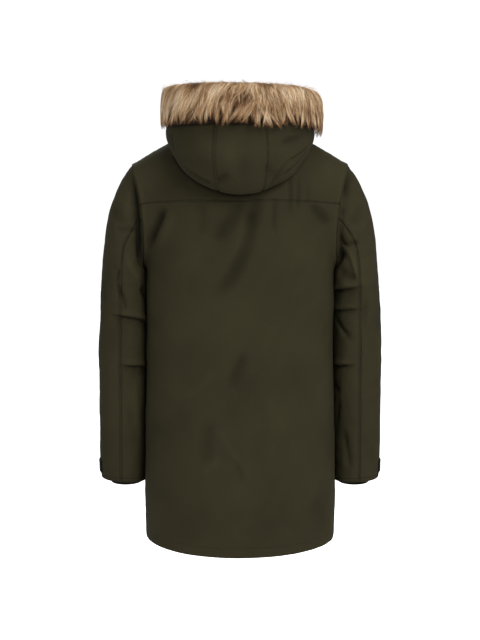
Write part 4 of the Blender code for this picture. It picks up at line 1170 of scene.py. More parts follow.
def sleeve_cloth(hand, side):
    angles = [*np.arange(-90, 270 + 1, SLEEVE_STEP), *np.arange(51, 171, SLEEVE_STEP)]
    angles += [s + o for s in (-90.0, 90.0) for o in SLEEVE_SEAM_STEPS]
    angles += [s - o for s in (90.0, 270.0) for o in SLEEVE_SEAM_STEPS]
    angles = np.unique(np.round(angles, 3))
    turn = np.radians(angles)
    rows = sleeve_rows()
    wrapped = (angles + 180) % 360 - 180
    points = sleeve_surface(hand, rows[:, None], wrapped[None, :])
    normals = tube_normals(points, hand)
    round_it = turn[None, :] * SLEEVE_ROUND
    height = points[..., 2]
    down = arc_lengths(points)
    facing = smoothstep(0, CREASE_HOLD, down)
    rise = creases(side, round_it, height, facing)
    rise = rise + creases(side, round_it - 2 * math.pi * SLEEVE_ROUND, height, facing)
    rise = rise + unevenness(points, 0.0007, 0.10, 21 + hand) * facing
    rise = rise + unevenness(points, 0.0004, 0.035, 31 + hand) * facing
    rise = rise * (1 - 0.85 * smoothstep(0.86, 0.99, -np.cos(turn)))[None, :]
    towards = towards_back(np.radians(wrapped))
    deep = read(ARMHOLE_VALLEYS, side, points[0, :, 2]) * np.where(towards > 0, 1.0, FRONT_VALLEY)
    out = down / VALLEY_OUT[side]
    rise = np.maximum(rise - deep[None, :] * out**2 * np.exp(2 * (1 - out)), DEEPEST_SLEEVE)
    rise[:, 0] = rise[:, -1] = (rise[:, 0] + rise[:, -1]) / 2
    points = points + normals * rise[..., None]
    normals = tube_normals(points, hand)
    normals[0] = armhole_normal(180 - np.abs(wrapped), towards) * np.array([hand, 1, 1])
    back_seam = int(np.argmin(np.abs(angles - 90)))
    made = {"start": "sewn", "end": "sewn", "bottom": "sewn", "top": "hem"}
    for name, columns, seam_edge in (
        ("outer", slice(0, back_seam + 1), "end"),
        ("under", slice(back_seam, None), "start"),
    ):
        node, lines = f"sleeve_{side}_{name}", {"top": BOTH_ROWS, seam_edge: (FIRST_ROW,)}
        grid = part_of((points, normals, rise), columns=columns)
        pieces[node] = cloth(node, grid, made, SHELL, seed=6 + hand, rows=lines)
    return points, normals, angles, rows


sleeves = {hand: sleeve_cloth(hand, side) for hand, side in HANDS}
print("sleeve grid:", len(sleeves[1][3]), "rows and", len(sleeves[1][2]), "columns")

# %% [markdown]
# ## Hood
#
# The laid down hood lies on the yoke, so after its own curve has placed it, every point
# that would touch the shoulders is moved out to a small clearance. Its three panels are
# cut from that one surface along two seams.

# %% Keeping the hood off the shoulders
CLEARING_REACH = 0.04


def shoulder_tree():
    """A search tree of the coat above the armpits, with its triangles facing out."""
    points, faces = [], []
    for grid, flip in ((back[0][armpit_row:], True), (front[0][armpit_row:], False)):
        rows, columns = grid.shape[:2]
        corner = len(points) + np.arange(rows * columns).reshape(rows, columns)[:-1, :-1].ravel()
        quads = np.stack([corner, corner + 1, corner + columns + 1, corner + columns], axis=-1)
        faces += (quads[:, ::-1] if flip else quads).tolist()
        points += [Vector(p) for p in grid.reshape(-1, 3)]
    return BVHTree.FromPolygons(points, faces)


def clear_of(points, tree, clearance):
    """The points in reach, each moved to at least that clearance from the surface."""
    flat = points.reshape(-1, 3).copy()
    for _ in range(3):
        for i, p in enumerate(flat):
            near, normal, _, _ = tree.find_nearest(Vector(p))
            off = Vector(p) - near
            height = off.dot(normal)
            if height < clearance and off.length < CLEARING_REACH:
                flat[i] = p + np.array(normal) * (clearance - height)
    return flat.reshape(points.shape)

# %% Hood cloth
HOOD_SEAM_STEPS = (0.5, 1.2, 2.2)  # degrees beside a hood seam
BACK_END = 75  # degrees from the centre, up to where the columns are close
# painted shade on the turned under side of the fold, noted in its rise after the cloth has moved, so
# only its colour darkens
FOLD_SHADE = 0.011  # as a rise, on the turned under side of the fold
half = [HOOD_SEAM_ANGLE + way * o for way in (-1, 1) for o in HOOD_SEAM_STEPS]
half += [*np.linspace(HOOD_SEAM_ANGLE, BACK_END, 42), *np.linspace(BACK_END, HOOD_END_ANGLE, 26)]
hood_angles = [*np.linspace(-HOOD_SEAM_ANGLE, HOOD_SEAM_ANGLE, 19), *half, *(-a for a in half)]
hood_angles = np.unique(np.round(hood_angles, 3))
along = stations(0, 1, 40, HOOD_LENGTH, HOOD_LENGTH, extra=np.linspace(0.58, 0.96, 50))
hood_points = hood_surface(hood_angles[None, :], along[:, None])
free = (along > 0.05) & (along < 0.90)
hood_points[free] = clear_of(hood_points[free], shoulder_tree(), HOOD_CLEARANCE)
hood_normals = -grid_normals(hood_points)
hood_round = np.radians(hood_angles)[None, :] * HOOD_ROUND
held = (smoothstep(0.3, 0.5, along) * (1 - smoothstep(0.93, 1.0, along)))[:, None]
hood_rise = creases("hood", hood_round, along[:, None] * HOOD_LENGTH, held)
hood_rise = hood_rise + unevenness(hood_points, 0.0009, 0.09, 41) * held
hood_rise = np.maximum(hood_rise, DEEPEST_HOOD)
hood_points = hood_points + hood_normals * hood_rise[..., None]
hood_normals = -grid_normals(hood_points)
# painted shade: the turned under side of the fold is darker
hood_rise = hood_rise - FOLD_SHADE * (1 - smoothstep(0.600, 0.640, along))[:, None]
right_seam, left_seam = (
    int(np.argmin(np.abs(hood_angles - way * HOOD_SEAM_ANGLE))) for way in (-1, 1)
)
for name, columns, start, end, lines in (
    ("hood_right", slice(0, right_seam + 1), "hem", "sewn", {"end": (FIRST_ROW,)}),
    ("hood_centre", slice(right_seam, left_seam + 1), "sewn", "sewn", {"end": (HOOD_ROW,)}),
    ("hood_left", slice(left_seam, None), "sewn", "hem", {"start": (FIRST_ROW,)}),
):
    grid = part_of((hood_points, hood_normals, hood_rise), columns=columns)
    edges = {"bottom": "sewn", "top": "sewn", "start": start, "end": end}
    pieces[name] = cloth(name, grid, edges, SHELL, seed=8, rows=lines)

# %% The hood's shade on the cloth that it lies on
# each place of the back notes how far outside the hood's own outline it lies; the shade is
# weaker on the wearer's right, where the hood stands off
STANDS_OFF = 0.004
BACK_FROM_Y = 0.06
turns = np.radians(np.arange(0, 360, 4))
ways = np.stack([np.cos(turns), np.sin(turns)])
hood_edge = (hood_points[..., [0, 2]].reshape(-1, 2) @ ways).max(axis=0)
for node in ("back_yoke", "back_panel"):
    mesh = pieces[node].data
    places = np.zeros(3 * len(mesh.vertices))
    mesh.vertices.foreach_get("co", places)
    places = places.reshape(-1, 3)
    beyond = (places[:, [0, 2]] @ ways - hood_edge).max(axis=1)
    beyond = beyond + STANDS_OFF * (1 - smoothstep(-0.06, 0.0, places[:, 0]))
    from_hood = np.where(places[:, 1] > BACK_FROM_Y, beyond, FAR)
    mesh.attributes["from_hood"].data.foreach_set("value", from_hood)
print("the hood's outline reaches down to z", round(float(hood_points[..., 2].min()), 3))

# %% [markdown]
# ## Growing things that repeat
#
# Stitches, zip teeth, ribs and hairs are one small shape over and over. Their places are
# worked out as lines of points, and a node tree grows the shape along them. The result is
# kept as a plain mesh, so that nothing depends on the modifier any more.

# %% Helpers for node trees that grow geometry


def growing_tree(name, inputs):
    """An empty geometry tree with a Geometry and a Material input, and those inputs."""
    inputs = {"Geometry": "Geometry", "Material": "Material", **inputs}
    return node_group("Geometry", name, inputs, {"Geometry": "Geometry"})


def named(tree, name, kind="FLOAT_VECTOR"):
    settings, inputs = {"data_type": kind}, {"Name": name}
    return add(tree, "GeometryNodeInputNamedAttribute", settings, inputs).outputs["Attribute"]


def finish_growing(tree, geometry, given, leave):
    """Every growing tree ends in real geometry with its material."""
    real = add(tree, "GeometryNodeRealizeInstances", inputs={"Geometry": geometry})
    even = add(tree, "GeometryNodeSetShadeSmooth", inputs={0: real.outputs[0]})
    paint = {"Geometry": even.outputs[0], "Material": given["Material"]}
    wire(leave, {0: add(tree, "GeometryNodeSetMaterial", inputs=paint).outputs[0]})
    return tree


def lines_object(name, lines, attributes):
    """Lines of equal length as a mesh of edges, with a value or a vector at each point."""
    count, length = lines.shape[:2]
    mesh = bpy.data.meshes.new(name)
    mesh.vertices.add(count * length)
    mesh.vertices.foreach_set("co", lines.reshape(-1))
    index = np.arange(count * length).reshape(count, length)
    edges = np.stack([index[:, :-1], index[:, 1:]], axis=-1).reshape(-1)
    mesh.edges.add(len(edges) // 2)
    mesh.edges.foreach_set("vertices", edges)
    for label, values in attributes.items():
        note(mesh, label, values, vector=values.ndim == 3)
    mesh.update()
    return in_scene(name, mesh)


def grown(name, source, tree, settings):
    """What a tree grows on a source object, as an object of its own; the source goes."""
    modifier = source.modifiers.new(name, "NODES")
    modifier.node_group = tree
    for item in tree.interface.items_tree:
        if item.in_out == "INPUT" and item.name in settings:
            modifier[item.identifier] = settings[item.name]
    evaluated = source.evaluated_get(bpy.context.evaluated_depsgraph_get())
    mesh = bpy.data.meshes.new_from_object(evaluated)
    source.modifiers.remove(modifier)
    bpy.data.objects.remove(source)
    mesh.name = name
    obj = in_scene(name, mesh)
    print(f"{name}: {triangles(obj)} triangles")
    return obj

# %% [markdown]
# ## Small finishes
#
# Thread, metal and the zip's teeth need less than the shell: two tones broken up by a fine noise, with
# a little relief. Webbing, tape and knit are woven, so they use the cloth's own finish with another
# pitch.

# %% Thread, metal, webbing, tape and knit


def grainy_material(name, deep, light, scale, relief, roughness, specular=0.3, metallic=0.0):
    """Two tones and a roughness broken up by a fine noise, with a little relief."""
    material, tree, shader = new_material(name)
    place = add(tree, "ShaderNodeTexCoord").outputs["Object"]
    grain, broad = noise(tree, place, scale, 3.0), noise(tree, place, scale / 14, 2.0)
    tone = maths(tree, "MULTIPLY_ADD", broad, 1.2, maths(tree, "MULTIPLY_ADD", grain, 0.8, -0.5))
    colour = colour_mix(tree, tone, (*deep, 1), (*light, 1))
    rough = maths(tree, "MULTIPLY_ADD", tone, 0.16, roughness - 0.08)
    height = maths(tree, "MULTIPLY", grain, relief)
    finish(tree, shader, colour, rough, height, specular, metallic=metallic)
    return material


def woven(name, deep, light, relief, pitch, roughness=0.9, specular=0.1):
    return cloth_material(name, deep, light, light, relief, roughness, specular, pitch)


THREAD, BLACK_THREAD, METAL, TEETH = (
    grainy_material(*row)
    for row in (
        ("olive_thread", (0.0170, 0.0148, 0.0070), (0.0330, 0.0290, 0.0145), 900.0, 0.00008, 0.6),
        ("black_thread", (0.004, 0.004, 0.004), (0.010, 0.010, 0.009), 900.0, 0.00008, 0.6),
        ("dark_metal", (0.035, 0.035, 0.036), (0.085, 0.084, 0.080), 700.0, 0.00003, 0.38, 0.5, 1.0),
        ("zip_teeth", (0.050, 0.048, 0.042), (0.110, 0.105, 0.092), 700.0, 0.00003, 0.34, 0.5, 1.0),
    )
)
WEBBING, TAPE, KNIT = (
    woven(*row)
    for row in (
        ("black_webbing", (0.0050, 0.0050, 0.0050), (0.0100, 0.0100, 0.0095), 0.00018, 0.0013, 0.8),
        ("zip_tape", (0.0100, 0.0092, 0.0058), (0.0165, 0.0152, 0.0098), 0.00010, 0.0010),
        ("rib_knit", (0.0100, 0.0094, 0.0060), (0.0170, 0.0160, 0.0105), 0.00020, 0.0019, 0.95, 0.06),
    )
)
trims = []  # (piece, nodes that it stands for, slot, body)

# %% [markdown]
# ## Knitted cuffs and their tabs
#
# Inside each sleeve end a knitted cuff closes round the wrist: a tube with fine ribs, made
# as a plain tube whose outer face a node tree then draws in between the ribs. A webbing
# tab is sewn on the outer side of the sleeve above it.

# %% Rib cuffs
RIBS = 64
RIB_COLUMNS = 5  # columns of the mesh for each rib
RIB_RELIEF = 0.0011
RIB_EDGE = 0.07  # how much of the tube, in sections, turns round at its lower end


def rib_tree():
    """Draws the outer face of a tube in between its ribs."""
    tree, given, leave = growing_tree("ribs", {"Ribs": 60.0, "Relief": 0.001})
    turns = maths(tree, "MULTIPLY", named(tree, "turn", "FLOAT"), given["Ribs"])
    wave = maths(tree, "COSINE", maths(tree, "MULTIPLY", turns, 2 * math.pi))
    groove = maths(tree, "MULTIPLY_ADD", wave, 0.5, -0.5)
    depth = maths(tree, "MULTIPLY", groove, given["Relief"])
    depth = maths(tree, "MULTIPLY", depth, named(tree, "outside", "FLOAT"))
    moved = {"Geometry": given["Geometry"], "Offset": scaled(tree, named(tree, "out"), depth)}
    moved = add(tree, "GeometryNodeSetPosition", inputs=moved).outputs[0]
    return finish_growing(tree, moved, given, leave)


def interpolated(at, run, values):
    """Rows of values, known at places along a run, read at other places."""
    return np.stack([np.interp(at, run, column) for column in values.T], axis=-1)


def read_grid(grid, rows, angles, at_row, at_angle):
    """A sleeve's grid read between its own rows and columns."""
    by_row = [interpolated(at_row, rows, grid[:, c]) for c in range(len(angles))]
    return np.stack([interpolated(at_angle, angles, row) for row in np.stack(by_row, axis=1)])


def rib_cuff(hand, side, tree):
    """A closed tube from inside the sleeve to the wrist, through the frame's own sections."""
    points, normals, angles, rows = sleeves[hand]
    count = RIBS * RIB_COLUMNS
    turn = np.linspace(0, 1, count, endpoint=False)
    degrees = turn * 360 - 90
    cosine, sine = np.cos(np.radians(degrees)), np.sin(np.radians(degrees))
    seat = read_grid(points, rows, angles, np.array([CUFF_STATION]), degrees)[0]
    seat_out = unit(read_grid(normals, rows, angles, np.array([CUFF_STATION]), degrees)[0])
    loops = [seat - seat_out * (WALL + 2 * SEAT_GAP)]
    for height, centre_x, half_width, depth in CUFF_SECTIONS:
        x, y = hand * (centre_x + half_width * cosine), CUFF_CENTRE_Y + depth * sine
        loops.append(np.stack([x, y, np.full(count, height)], axis=-1))
    stations = np.unique(np.concatenate([np.linspace(0, 3, 11), [2.93, 2.98]]))
    at = [np.full((count, 3), station) for station in stations]
    outer = np.stack([through(np.arange(4.0), np.stack(loops), place) for place in at])
    outward = grid_normals(outer, ring=True)
    outward = outward * np.sign(np.sum(outward[1] * seat_out))
    edge = np.clip((stations[-1] - stations) / RIB_EDGE, 0, 1)
    turned = RIB_WALL * 0.42 * (1 - np.sqrt(1 - (1 - edge) ** 2))
    inner = outer - outward * (RIB_WALL - turned)[:, None, None]
    outer = outer - outward * turned[:, None, None]
    tube = np.concatenate([outer, inner[::-1]])
    total = len(tube)
    index = np.arange(total * count).reshape(total, count)
    below, beside = np.roll(index, -1, axis=0), np.roll(index, -1, axis=1)
    faces = np.stack([index, beside, np.roll(below, -1, axis=1), below], axis=-1).reshape(-1, 4)
    corners = tube.reshape(-1, 3)[faces[: (len(stations) - 1) * count]]
    faces, _ = facing_out(corners, outward[:-1].reshape(-1, 3), faces)
    source = mesh_object(f"rib_cuff_{side}_tube", tube.reshape(-1, 3), faces.tolist(), KNIT)
    shown = np.concatenate([edge**0.5, 0 * edge])[:, None] * np.ones((1, count))
    note(source.data, "turn", np.tile(turn, total))
    note(source.data, "outside", shown)
    note(source.data, "out", np.concatenate([outward, -outward[::-1]]), vector=True)
    for mark in MARKS:
        note(source.data, mark, np.full(total * count, FAR))
    last = outer[-4]
    round_it = float(np.linalg.norm(np.roll(last, -1, axis=0) - last, axis=1).sum())
    down = arc_lengths(outer).mean(axis=1)
    both_ways = np.concatenate([down, down[::-1]])[:, None]
    note_cut(source.data, np.stack(np.broadcast_arrays(turn * round_it, both_ways), axis=-1))
    settings = {"Material": KNIT, "Ribs": float(RIBS), "Relief": RIB_RELIEF}
    obj = grown(f"rib_cuff_{side}_knit", source, tree, settings)
    obj["cut"] = [round_it, float(down[-1]), float(round_it * down[-1])]
    return obj


RIB_TREE = rib_tree()
for hand, side in HANDS:
    trims.append((rib_cuff(hand, side, RIB_TREE), (f"rib_cuff_{side}",), "rib", "garment"))

# %% Cuff tabs
TAB_ROWS = (11.2, 11.75)
TAB_ANGLES = (-75.0, 30.0)
TAB_THICKNESS = 0.0026
EDGES = ("bottom", "top", "start", "end")

for hand, side in HANDS:
    points, normals, angles, rows = sleeves[hand]
    at_row, at_angle = np.linspace(*TAB_ROWS, 16), np.linspace(*TAB_ANGLES, 44)
    under = read_grid(points, rows, angles, at_row, at_angle)
    outward = unit(read_grid(normals, rows, angles, at_row, at_angle))
    grid = (under + outward * (SEAT_GAP + TAB_THICKNESS), outward, 0.0)
    hems, lines = dict.fromkeys(EDGES, "hem"), dict.fromkeys(EDGES, (FIRST_ROW,))
    tab = cloth(f"cuff_tab_{side}", grid, hems, WEBBING, TAB_THICKNESS, seed=3, rows=lines)
    trims.append((tab, (f"cuff_tab_{side}",), "cuff_tab", "garment"))

# %% [markdown]
# ## The zip
#
# Two woven tapes lie behind the fronts' edges and carry metal teeth that mesh along the
# centre. The slider is two plates with side walls and a bridge over the upper one. The
# pull tab hangs from the bridge's pin by its eye and swings up on it.

# %% Tapes and teeth
TAPE_WIDTH = 0.017
TAPE_THICKNESS = 0.0010
TAPE_COLUMNS = 8
TAPE_DEPTH = WALL + 2 * SEAT_GAP
TAPE_TOP_LEVEL = 2.8
TOOTH_PITCH = 0.0025
TOOTH_SIZE = (0.00095, 0.0017, 0.0009)  # half sizes along, across and through
TOOTH_OUT = 0.0010  # of each row's middle, from the centre line

zip_middle, zip_out, _ = part_of(front, levels <= TAPE_TOP_LEVEL + 1e-6, middle)
to_side = unit(front[0][: len(zip_middle), middle + 1] - zip_middle)
teeth = []
for hand, side in HANDS:
    inner_edge = zip_middle - zip_out * TAPE_DEPTH + np.array([hand * SEAM_GAP / 2, 0, 0])
    outer_edge = zip_middle + to_side * np.array([hand, 1, 1]) * TAPE_WIDTH - zip_out * TAPE_DEPTH
    reach = np.linspace(0, 1, TAPE_COLUMNS)[None, :, None]
    sheet = inner_edge[:, None] + (outer_edge - inner_edge)[:, None] * reach
    grid = (sheet, np.repeat(zip_out[:, None], TAPE_COLUMNS, axis=1), 0.0)
    hems = {"start": "hem", "end": "hem"}
    tape = cloth(f"zip_tape_{side}", grid, hems, TAPE, TAPE_THICKNESS, seed=5)
    trims.append((tape, (f"zip_tape_{side}",), "zip_tape", "garment"))
    row = zip_middle - zip_out * (TAPE_DEPTH - TOOTH_SIZE[2]) + np.array([hand * TOOTH_OUT, 0, 0])
    teeth.append((row, zip_out, 0.5 + 0.25 * hand))

# %% The sizes of the slider and the pull tab
HINGE = np.array([0.0, -0.11394, -0.06719])
ZIP_AXES = np.array([[1.0, 0.0, 0.0], [0.0, -0.8439, 0.5366], [0.0, 0.5366, 0.8439]])
_, OUTWARD, ALONG = ZIP_AXES  # the first is across
PIN_OUT = 0.0042  # of the hinge, from the slider's middle
PIN_UP = 0.0030
# each block: its middle across, out and along, its width, thickness, length and bevel
SLIDER_BLOCKS = numbers("""
0 0.0013 0 0.0088 0.0010 0.0148 0.00045
0 -0.0013 0 0.0088 0.0010 0.0148 0.00045
0.0038 0 -0.0022 0.0012 0.0026 0.0100 0.00035
-0.0038 0 -0.0022 0.0012 0.0026 0.0100 0.00035
0 0 0.0050 0.0032 0.0020 0.0044 0.0006
0.0028 0.0029 0.0030 0.0014 0.0044 0.0022 0.00045
-0.0028 0.0029 0.0030 0.0014 0.0044 0.0022 0.00045
""")
TAB_BLOCKS = numbers("""
0 0 -0.0040 0.0030 0.0014 0.0050 0.0004
0 0 -0.0140 0.0070 0.0014 0.0180 0.0006
0 0 -0.0105 0.0044 0.0018 0.0009 0.0002
0 0 -0.0130 0.0044 0.0018 0.0009 0.0002
0 0 -0.0155 0.0044 0.0018 0.0009 0.0002
""")
PIN_RING = (PIN_OUT, PIN_UP, 0.0, 0.0008, 0.0056)  # out, along, inner, outer, wide
EYE_RING = (0, 0, 0.00115, 0.0020, 0.0030)
RING_SOFT = 0.00015
RING_STEPS = 24

# %% The slider and the pull tab


def rounded_block(block):
    """Corners and faces of a block with rounded edges, in the order across, out, along."""
    shape = bmesh.new()
    bmesh.ops.create_cube(shape, size=1.0)
    bmesh.ops.scale(shape, vec=block[3:6], verts=shape.verts)
    rounding = {"segments": 3, "profile": 0.5, "affect": "EDGES"}
    bmesh.ops.bevel(shape, geom=shape.edges, offset=block[6], **rounding)
    bmesh.ops.translate(shape, vec=block[:3], verts=shape.verts)
    shape.verts.index_update()
    corners = [tuple(v.co) for v in shape.verts]
    faces = [[v.index for v in f.verts] for f in shape.faces]
    shape.free()
    return corners, faces


def ring(out, along, inner, outer, wide):
    """A ring or a pin whose axis runs across, with soft edges."""
    half, soft = wide / 2, RING_SOFT
    profile = [(-half, outer - soft), (-half + soft, outer)]
    profile += [(half - soft, outer), (half, outer - soft)]
    if inner:
        profile += [(half, inner + soft), (half - soft, inner)]
        profile += [(-half + soft, inner), (-half, inner + soft)]
    corners, faces = [], []
    size = len(profile)
    for k in range(RING_STEPS):
        turn = 2 * math.pi * k / RING_STEPS
        corners += [(x, out + r * math.cos(turn), along + r * math.sin(turn)) for x, r in profile]
        after = (k + 1) % RING_STEPS * size - k * size
        for j in range(size if inner else size - 1):
            a, b = k * size + j, k * size + (j + 1) % size
            faces.append([a, b, b + after, a + after])
    if not inner:
        around = range(RING_STEPS)
        faces += [[k * size for k in around], [k * size + size - 1 for k in reversed(around)]]
    return corners, faces


def metal_piece(name, blocks, loop, origin):
    """Blocks and a ring in the zip's own axes, as one mesh in the coat's."""
    corners, faces = [], []
    for own_corners, own_faces in [*map(rounded_block, blocks), ring(*loop)]:
        faces += [[i + len(corners) for i in face] for face in own_faces]
        corners += own_corners
    local = np.array(corners)
    world = origin + sum(local[:, k : k + 1] * ZIP_AXES[k] for k in range(3))
    obj = mesh_object(f"{name}_metal", world, faces, METAL)
    work = bmesh.new()
    work.from_mesh(obj.data)
    bmesh.ops.recalc_face_normals(work, faces=work.faces)
    work.to_mesh(obj.data)
    work.free()
    smooth(obj.data, sharp=40)
    print(f"{name}: {triangles(obj)} triangles")
    return obj


slider_middle = HINGE - OUTWARD * PIN_OUT - ALONG * PIN_UP
for name, blocks, loop, origin, body_name in (
    ("zip_slider", SLIDER_BLOCKS, PIN_RING, slider_middle, "garment"),
    ("zip_pull_tab", TAB_BLOCKS, EYE_RING, HINGE, "pull_tab"),
):
    trims.append((metal_piece(name, blocks, loop, origin), (name,), "zip_metal", body_name))

# %% [markdown]
# ## Stitches and teeth
#
# A second row of stitches beside a seam holds its turned edges flat. Each stitch is a
# short flattened bead of thread, sunk a little into the channel that it pulls. The rows
# follow the panels' own edges. The zip's teeth are small rounded plates in two rows, half
# a pitch apart, with a space for the slider.

# %% Rows of stitches and teeth
STITCH_PITCH = 0.0036
STITCH_SIZE = (0.0014, 0.00034, 0.00026)  # half length, half width and half height
STITCH_SUNK = 0.3  # of its half height
SLIDER_SPACE = 0.0085  # without teeth, each way from the slider's middle
TEETH_MARGIN = 0.004
OLIVE_ROWS = [
    ("back_yoke", "bottom", (FIRST_ROW,)),
    ("back_panel", "bottom", (HEM_ROW,)),
    ("front_left", "bottom", (HEM_ROW,)),
    ("front_right", "bottom", (HEM_ROW,)),
    ("front_left", "start", BOTH_ROWS),
    ("front_right", "end", BOTH_ROWS),
    ("hood_right", "end", (FIRST_ROW,)),
    ("hood_centre", "end", (HOOD_ROW,)),
    ("hood_left", "start", (FIRST_ROW,)),
]
SLEEVE_PIECES = [f"sleeve_{side}_{part}" for _, side in HANDS for part in ("outer", "under")]
OLIVE_ROWS += [(name, "top", BOTH_ROWS) for name in SLEEVE_PIECES]
OLIVE_ROWS += [(name, "end", (FIRST_ROW,)) for name in SLEEVE_PIECES[::2]]
BLACK_ROWS = [(f"cuff_tab_{side}", edge, (FIRST_ROW,)) for _, side in HANDS for edge in EDGES]


def row_beside(panel, edge, distance):
    """Points along an edge of a panel at that distance from it, and the way up from the cloth."""
    grids = cloth_faces[panel]
    if edge in ("start", "end"):
        grids = [grid.swapaxes(0, 1) for grid in grids]
    if edge in ("top", "end"):
        grids = [grid[::-1] for grid in grids]
    run = arc_lengths(grids[0])
    places, ways_up = (
        np.stack([interpolated(distance, run[:, c], grid[:, c]) for c in range(grid.shape[1])])
        for grid in grids
    )
    return places, unit(ways_up)


def evenly(line, ways_up, pitch, start=0.5, margin=0.0):
    """Places every pitch along a line, with the way ahead and the way up at each."""
    run = arc_lengths(line)
    at = np.arange(margin + start * pitch, run[-1] - margin, pitch)
    places = interpolated(at, run, line)
    return places, unit(np.gradient(places, axis=0)), unit(interpolated(at, run, ways_up))


def bead_tree(name, kind, settings, inputs):
    """One small shape on every point, turned by "ahead" and "up" and sized by "size"."""
    tree, given, leave = growing_tree(name, {"Scale": 1.0})
    bead = add(tree, kind, settings, inputs)
    ways = {0: named(tree, "ahead"), 1: named(tree, "up")}
    axes = {"primary_axis": "X", "secondary_axis": "Z"}
    turn = add(tree, "FunctionNodeAxesToRotation", axes, ways)
    put = {"Points": given["Geometry"], "Instance": bead.outputs["Mesh"]}
    put |= {"Rotation": turn.outputs[0], "Scale": scaled(tree, named(tree, "size"), given["Scale"])}
    put = add(tree, "GeometryNodeInstanceOnPoints", inputs=put).outputs[0]
    return finish_growing(tree, put, given, leave)


def beads(name, rows, size, tree, material, slot):
    """Grows a tree's shape on rows of (places, ahead, up)."""
    places, ahead, up = (np.concatenate([row[k] for row in rows])[:, None] for k in range(3))
    values = {"ahead": ahead, "up": up, "size": np.broadcast_to(size, places.shape)}
    source = lines_object(f"{name}_points", places, values)
    obj = grown(name, source, tree, {"Material": material, "Scale": 1.0})
    trims.append((obj, (), slot, "garment"))


SPHERE = {"Segments": 5, "Rings": 3, "Radius": 1.0}
PLATE = {"Vertices": 8, "Radius": 1.0, "Depth": 2.0}
STITCH = bead_tree("stitches", "GeometryNodeMeshUVSphere", {}, SPHERE)
TOOTH = bead_tree("teeth", "GeometryNodeMeshCylinder", {"fill_type": "NGON"}, PLATE)
for name, edges, thread, slot in (
    ("topstitching", OLIVE_ROWS, THREAD, "shell"),
    ("tab_stitching", BLACK_ROWS, BLACK_THREAD, "cuff_tab"),
):
    stitches = []
    for panel, edge, distances in edges:
        for distance in distances:
            places, ahead, up = evenly(*row_beside(panel, edge, distance), STITCH_PITCH)
            stitches.append((places - up * STITCH_SIZE[2] * STITCH_SUNK, ahead, up))
    beads(name, stitches, STITCH_SIZE, STITCH, thread, slot)

tooth_rows = []
for row, out, start in teeth:
    grids = evenly(row, out, TOOTH_PITCH, start, TEETH_MARGIN)
    clear = np.abs((grids[0] - slider_middle) @ ALONG) > SLIDER_SPACE
    tooth_rows.append([grid[clear] for grid in grids])
beads("zip_teeth", tooth_rows, TOOTH_SIZE, TOOTH, TEETH, "zip_metal")

# %% [markdown]
# ## Fur
#
# The ruff is long fake fur on a strip sewn to the hood's rim. Under the hairs is a brown
# pile, a closed tube a centimetre inside the solid. The hairs are combed from the top of
# the ruff outwards and down, sweep away from the middle, and stick together in pointed
# locks, so they are placed lock by lock. Hairs are flat ribbons that taper to their tip.

# %% Sections of the ruff: how far outwards and upwards from the hood's rim
PILE_SECTION = numbers("""
-0.0056 0.0014
-0.0160 0.0070
-0.0240 0.0220
-0.0270 0.0460
-0.0210 0.0660
-0.0070 0.0770
0.0090 0.0775
0.0205 0.0670
0.0258 0.0460
0.0235 0.0300
0.0175 0.0200
0.0100 0.0120
0.0044 0.0060
0.0018 0.0014
""")
OUTER_FLOW = numbers("""
-0.0190 0.0690
-0.0120 0.0745
0.0000 0.0790
0.0110 0.0765
0.0205 0.0670
0.0250 0.0500
0.0262 0.0300
0.0255 0.0120
0.0235 -0.0060
0.0215 -0.0240
""")
TOP_FLOW = numbers("""
-0.0140 0.0730
-0.0060 0.0775
0.0030 0.0788
0.0110 0.0765
0.0185 0.0700
""")
INNER_FLOW = numbers("""
0.0120 0.0755
0.0000 0.0790
-0.0120 0.0745
-0.0225 0.0630
-0.0270 0.0460
-0.0245 0.0220
-0.0190 0.0040
-0.0150 -0.0100
""")
# the combed hair against its solid; the wearer's right is negative
COMBED_SIZES = table("""
angle outward upward
-162 1.0 0.96
-110 1.0 0.86
-80 1.0 0.80
-60 1.0 0.86
-40 1.0 0.93
-20 1.0 0.97
0 1.0 1.0
40 0.93 0.98
60 0.72 0.95
85 0.52 0.88
110 0.75 0.90
162 1.0 0.96
""")
ROUND_FROM = 154.0  # the ruff's ends are round from this angle on
ROUND_TO = 163.8
RUFF_MIDDLE = 0.040  # the height that its ends draw in to


def ruff_point(angle, a, b):
    """A place in the ruff's section at that angle: a is outwards and b upwards."""
    angle, a, b = np.broadcast_arrays(angle, a, b)
    rim = hood_surface(angle, 1.0)
    up = unit(rim - hood_surface(angle, 0.94))
    radial = unit(rim * (1, 1, 0))
    out = unit(radial - up * np.sum(radial * up, axis=-1, keepdims=True))
    near_end = np.clip((np.abs(angle) - ROUND_FROM) / (ROUND_TO - ROUND_FROM), 0, 0.99)
    left_of_it = np.sqrt(1 - near_end**2)
    a, b = a * left_of_it, RUFF_MIDDLE + (b - RUFF_MIDDLE) * left_of_it
    size, combed_size = section(FUR_SIZES, np.abs(angle)), section(COMBED_SIZES, angle)
    outward, upward = (size[column] * combed_size[column] for column in ("outward", "upward"))
    wide = np.where(a > 0.003, outward, np.where(a < -0.006, size["inward"], 1.0))
    soft = smoothstep(0.0, 0.010, np.abs(a))
    tall = np.where(b > 0, upward, 1.0)
    return rim + out * (a * (1 + (wide - 1) * soft))[..., None] + up * (b * tall)[..., None]


def drawn(corners, at, closed=False):
    """Places on a smooth curve through corners in a plane; corner 1 is at 1, and so on."""
    before = 2 if closed else 0
    if closed:
        corners = np.concatenate([corners[-2:], corners, corners[:3]])
    places = np.arange(len(corners)) - float(before)
    return np.stack([through(places, corners[:, axis], at) for axis in (0, 1)], axis=-1)

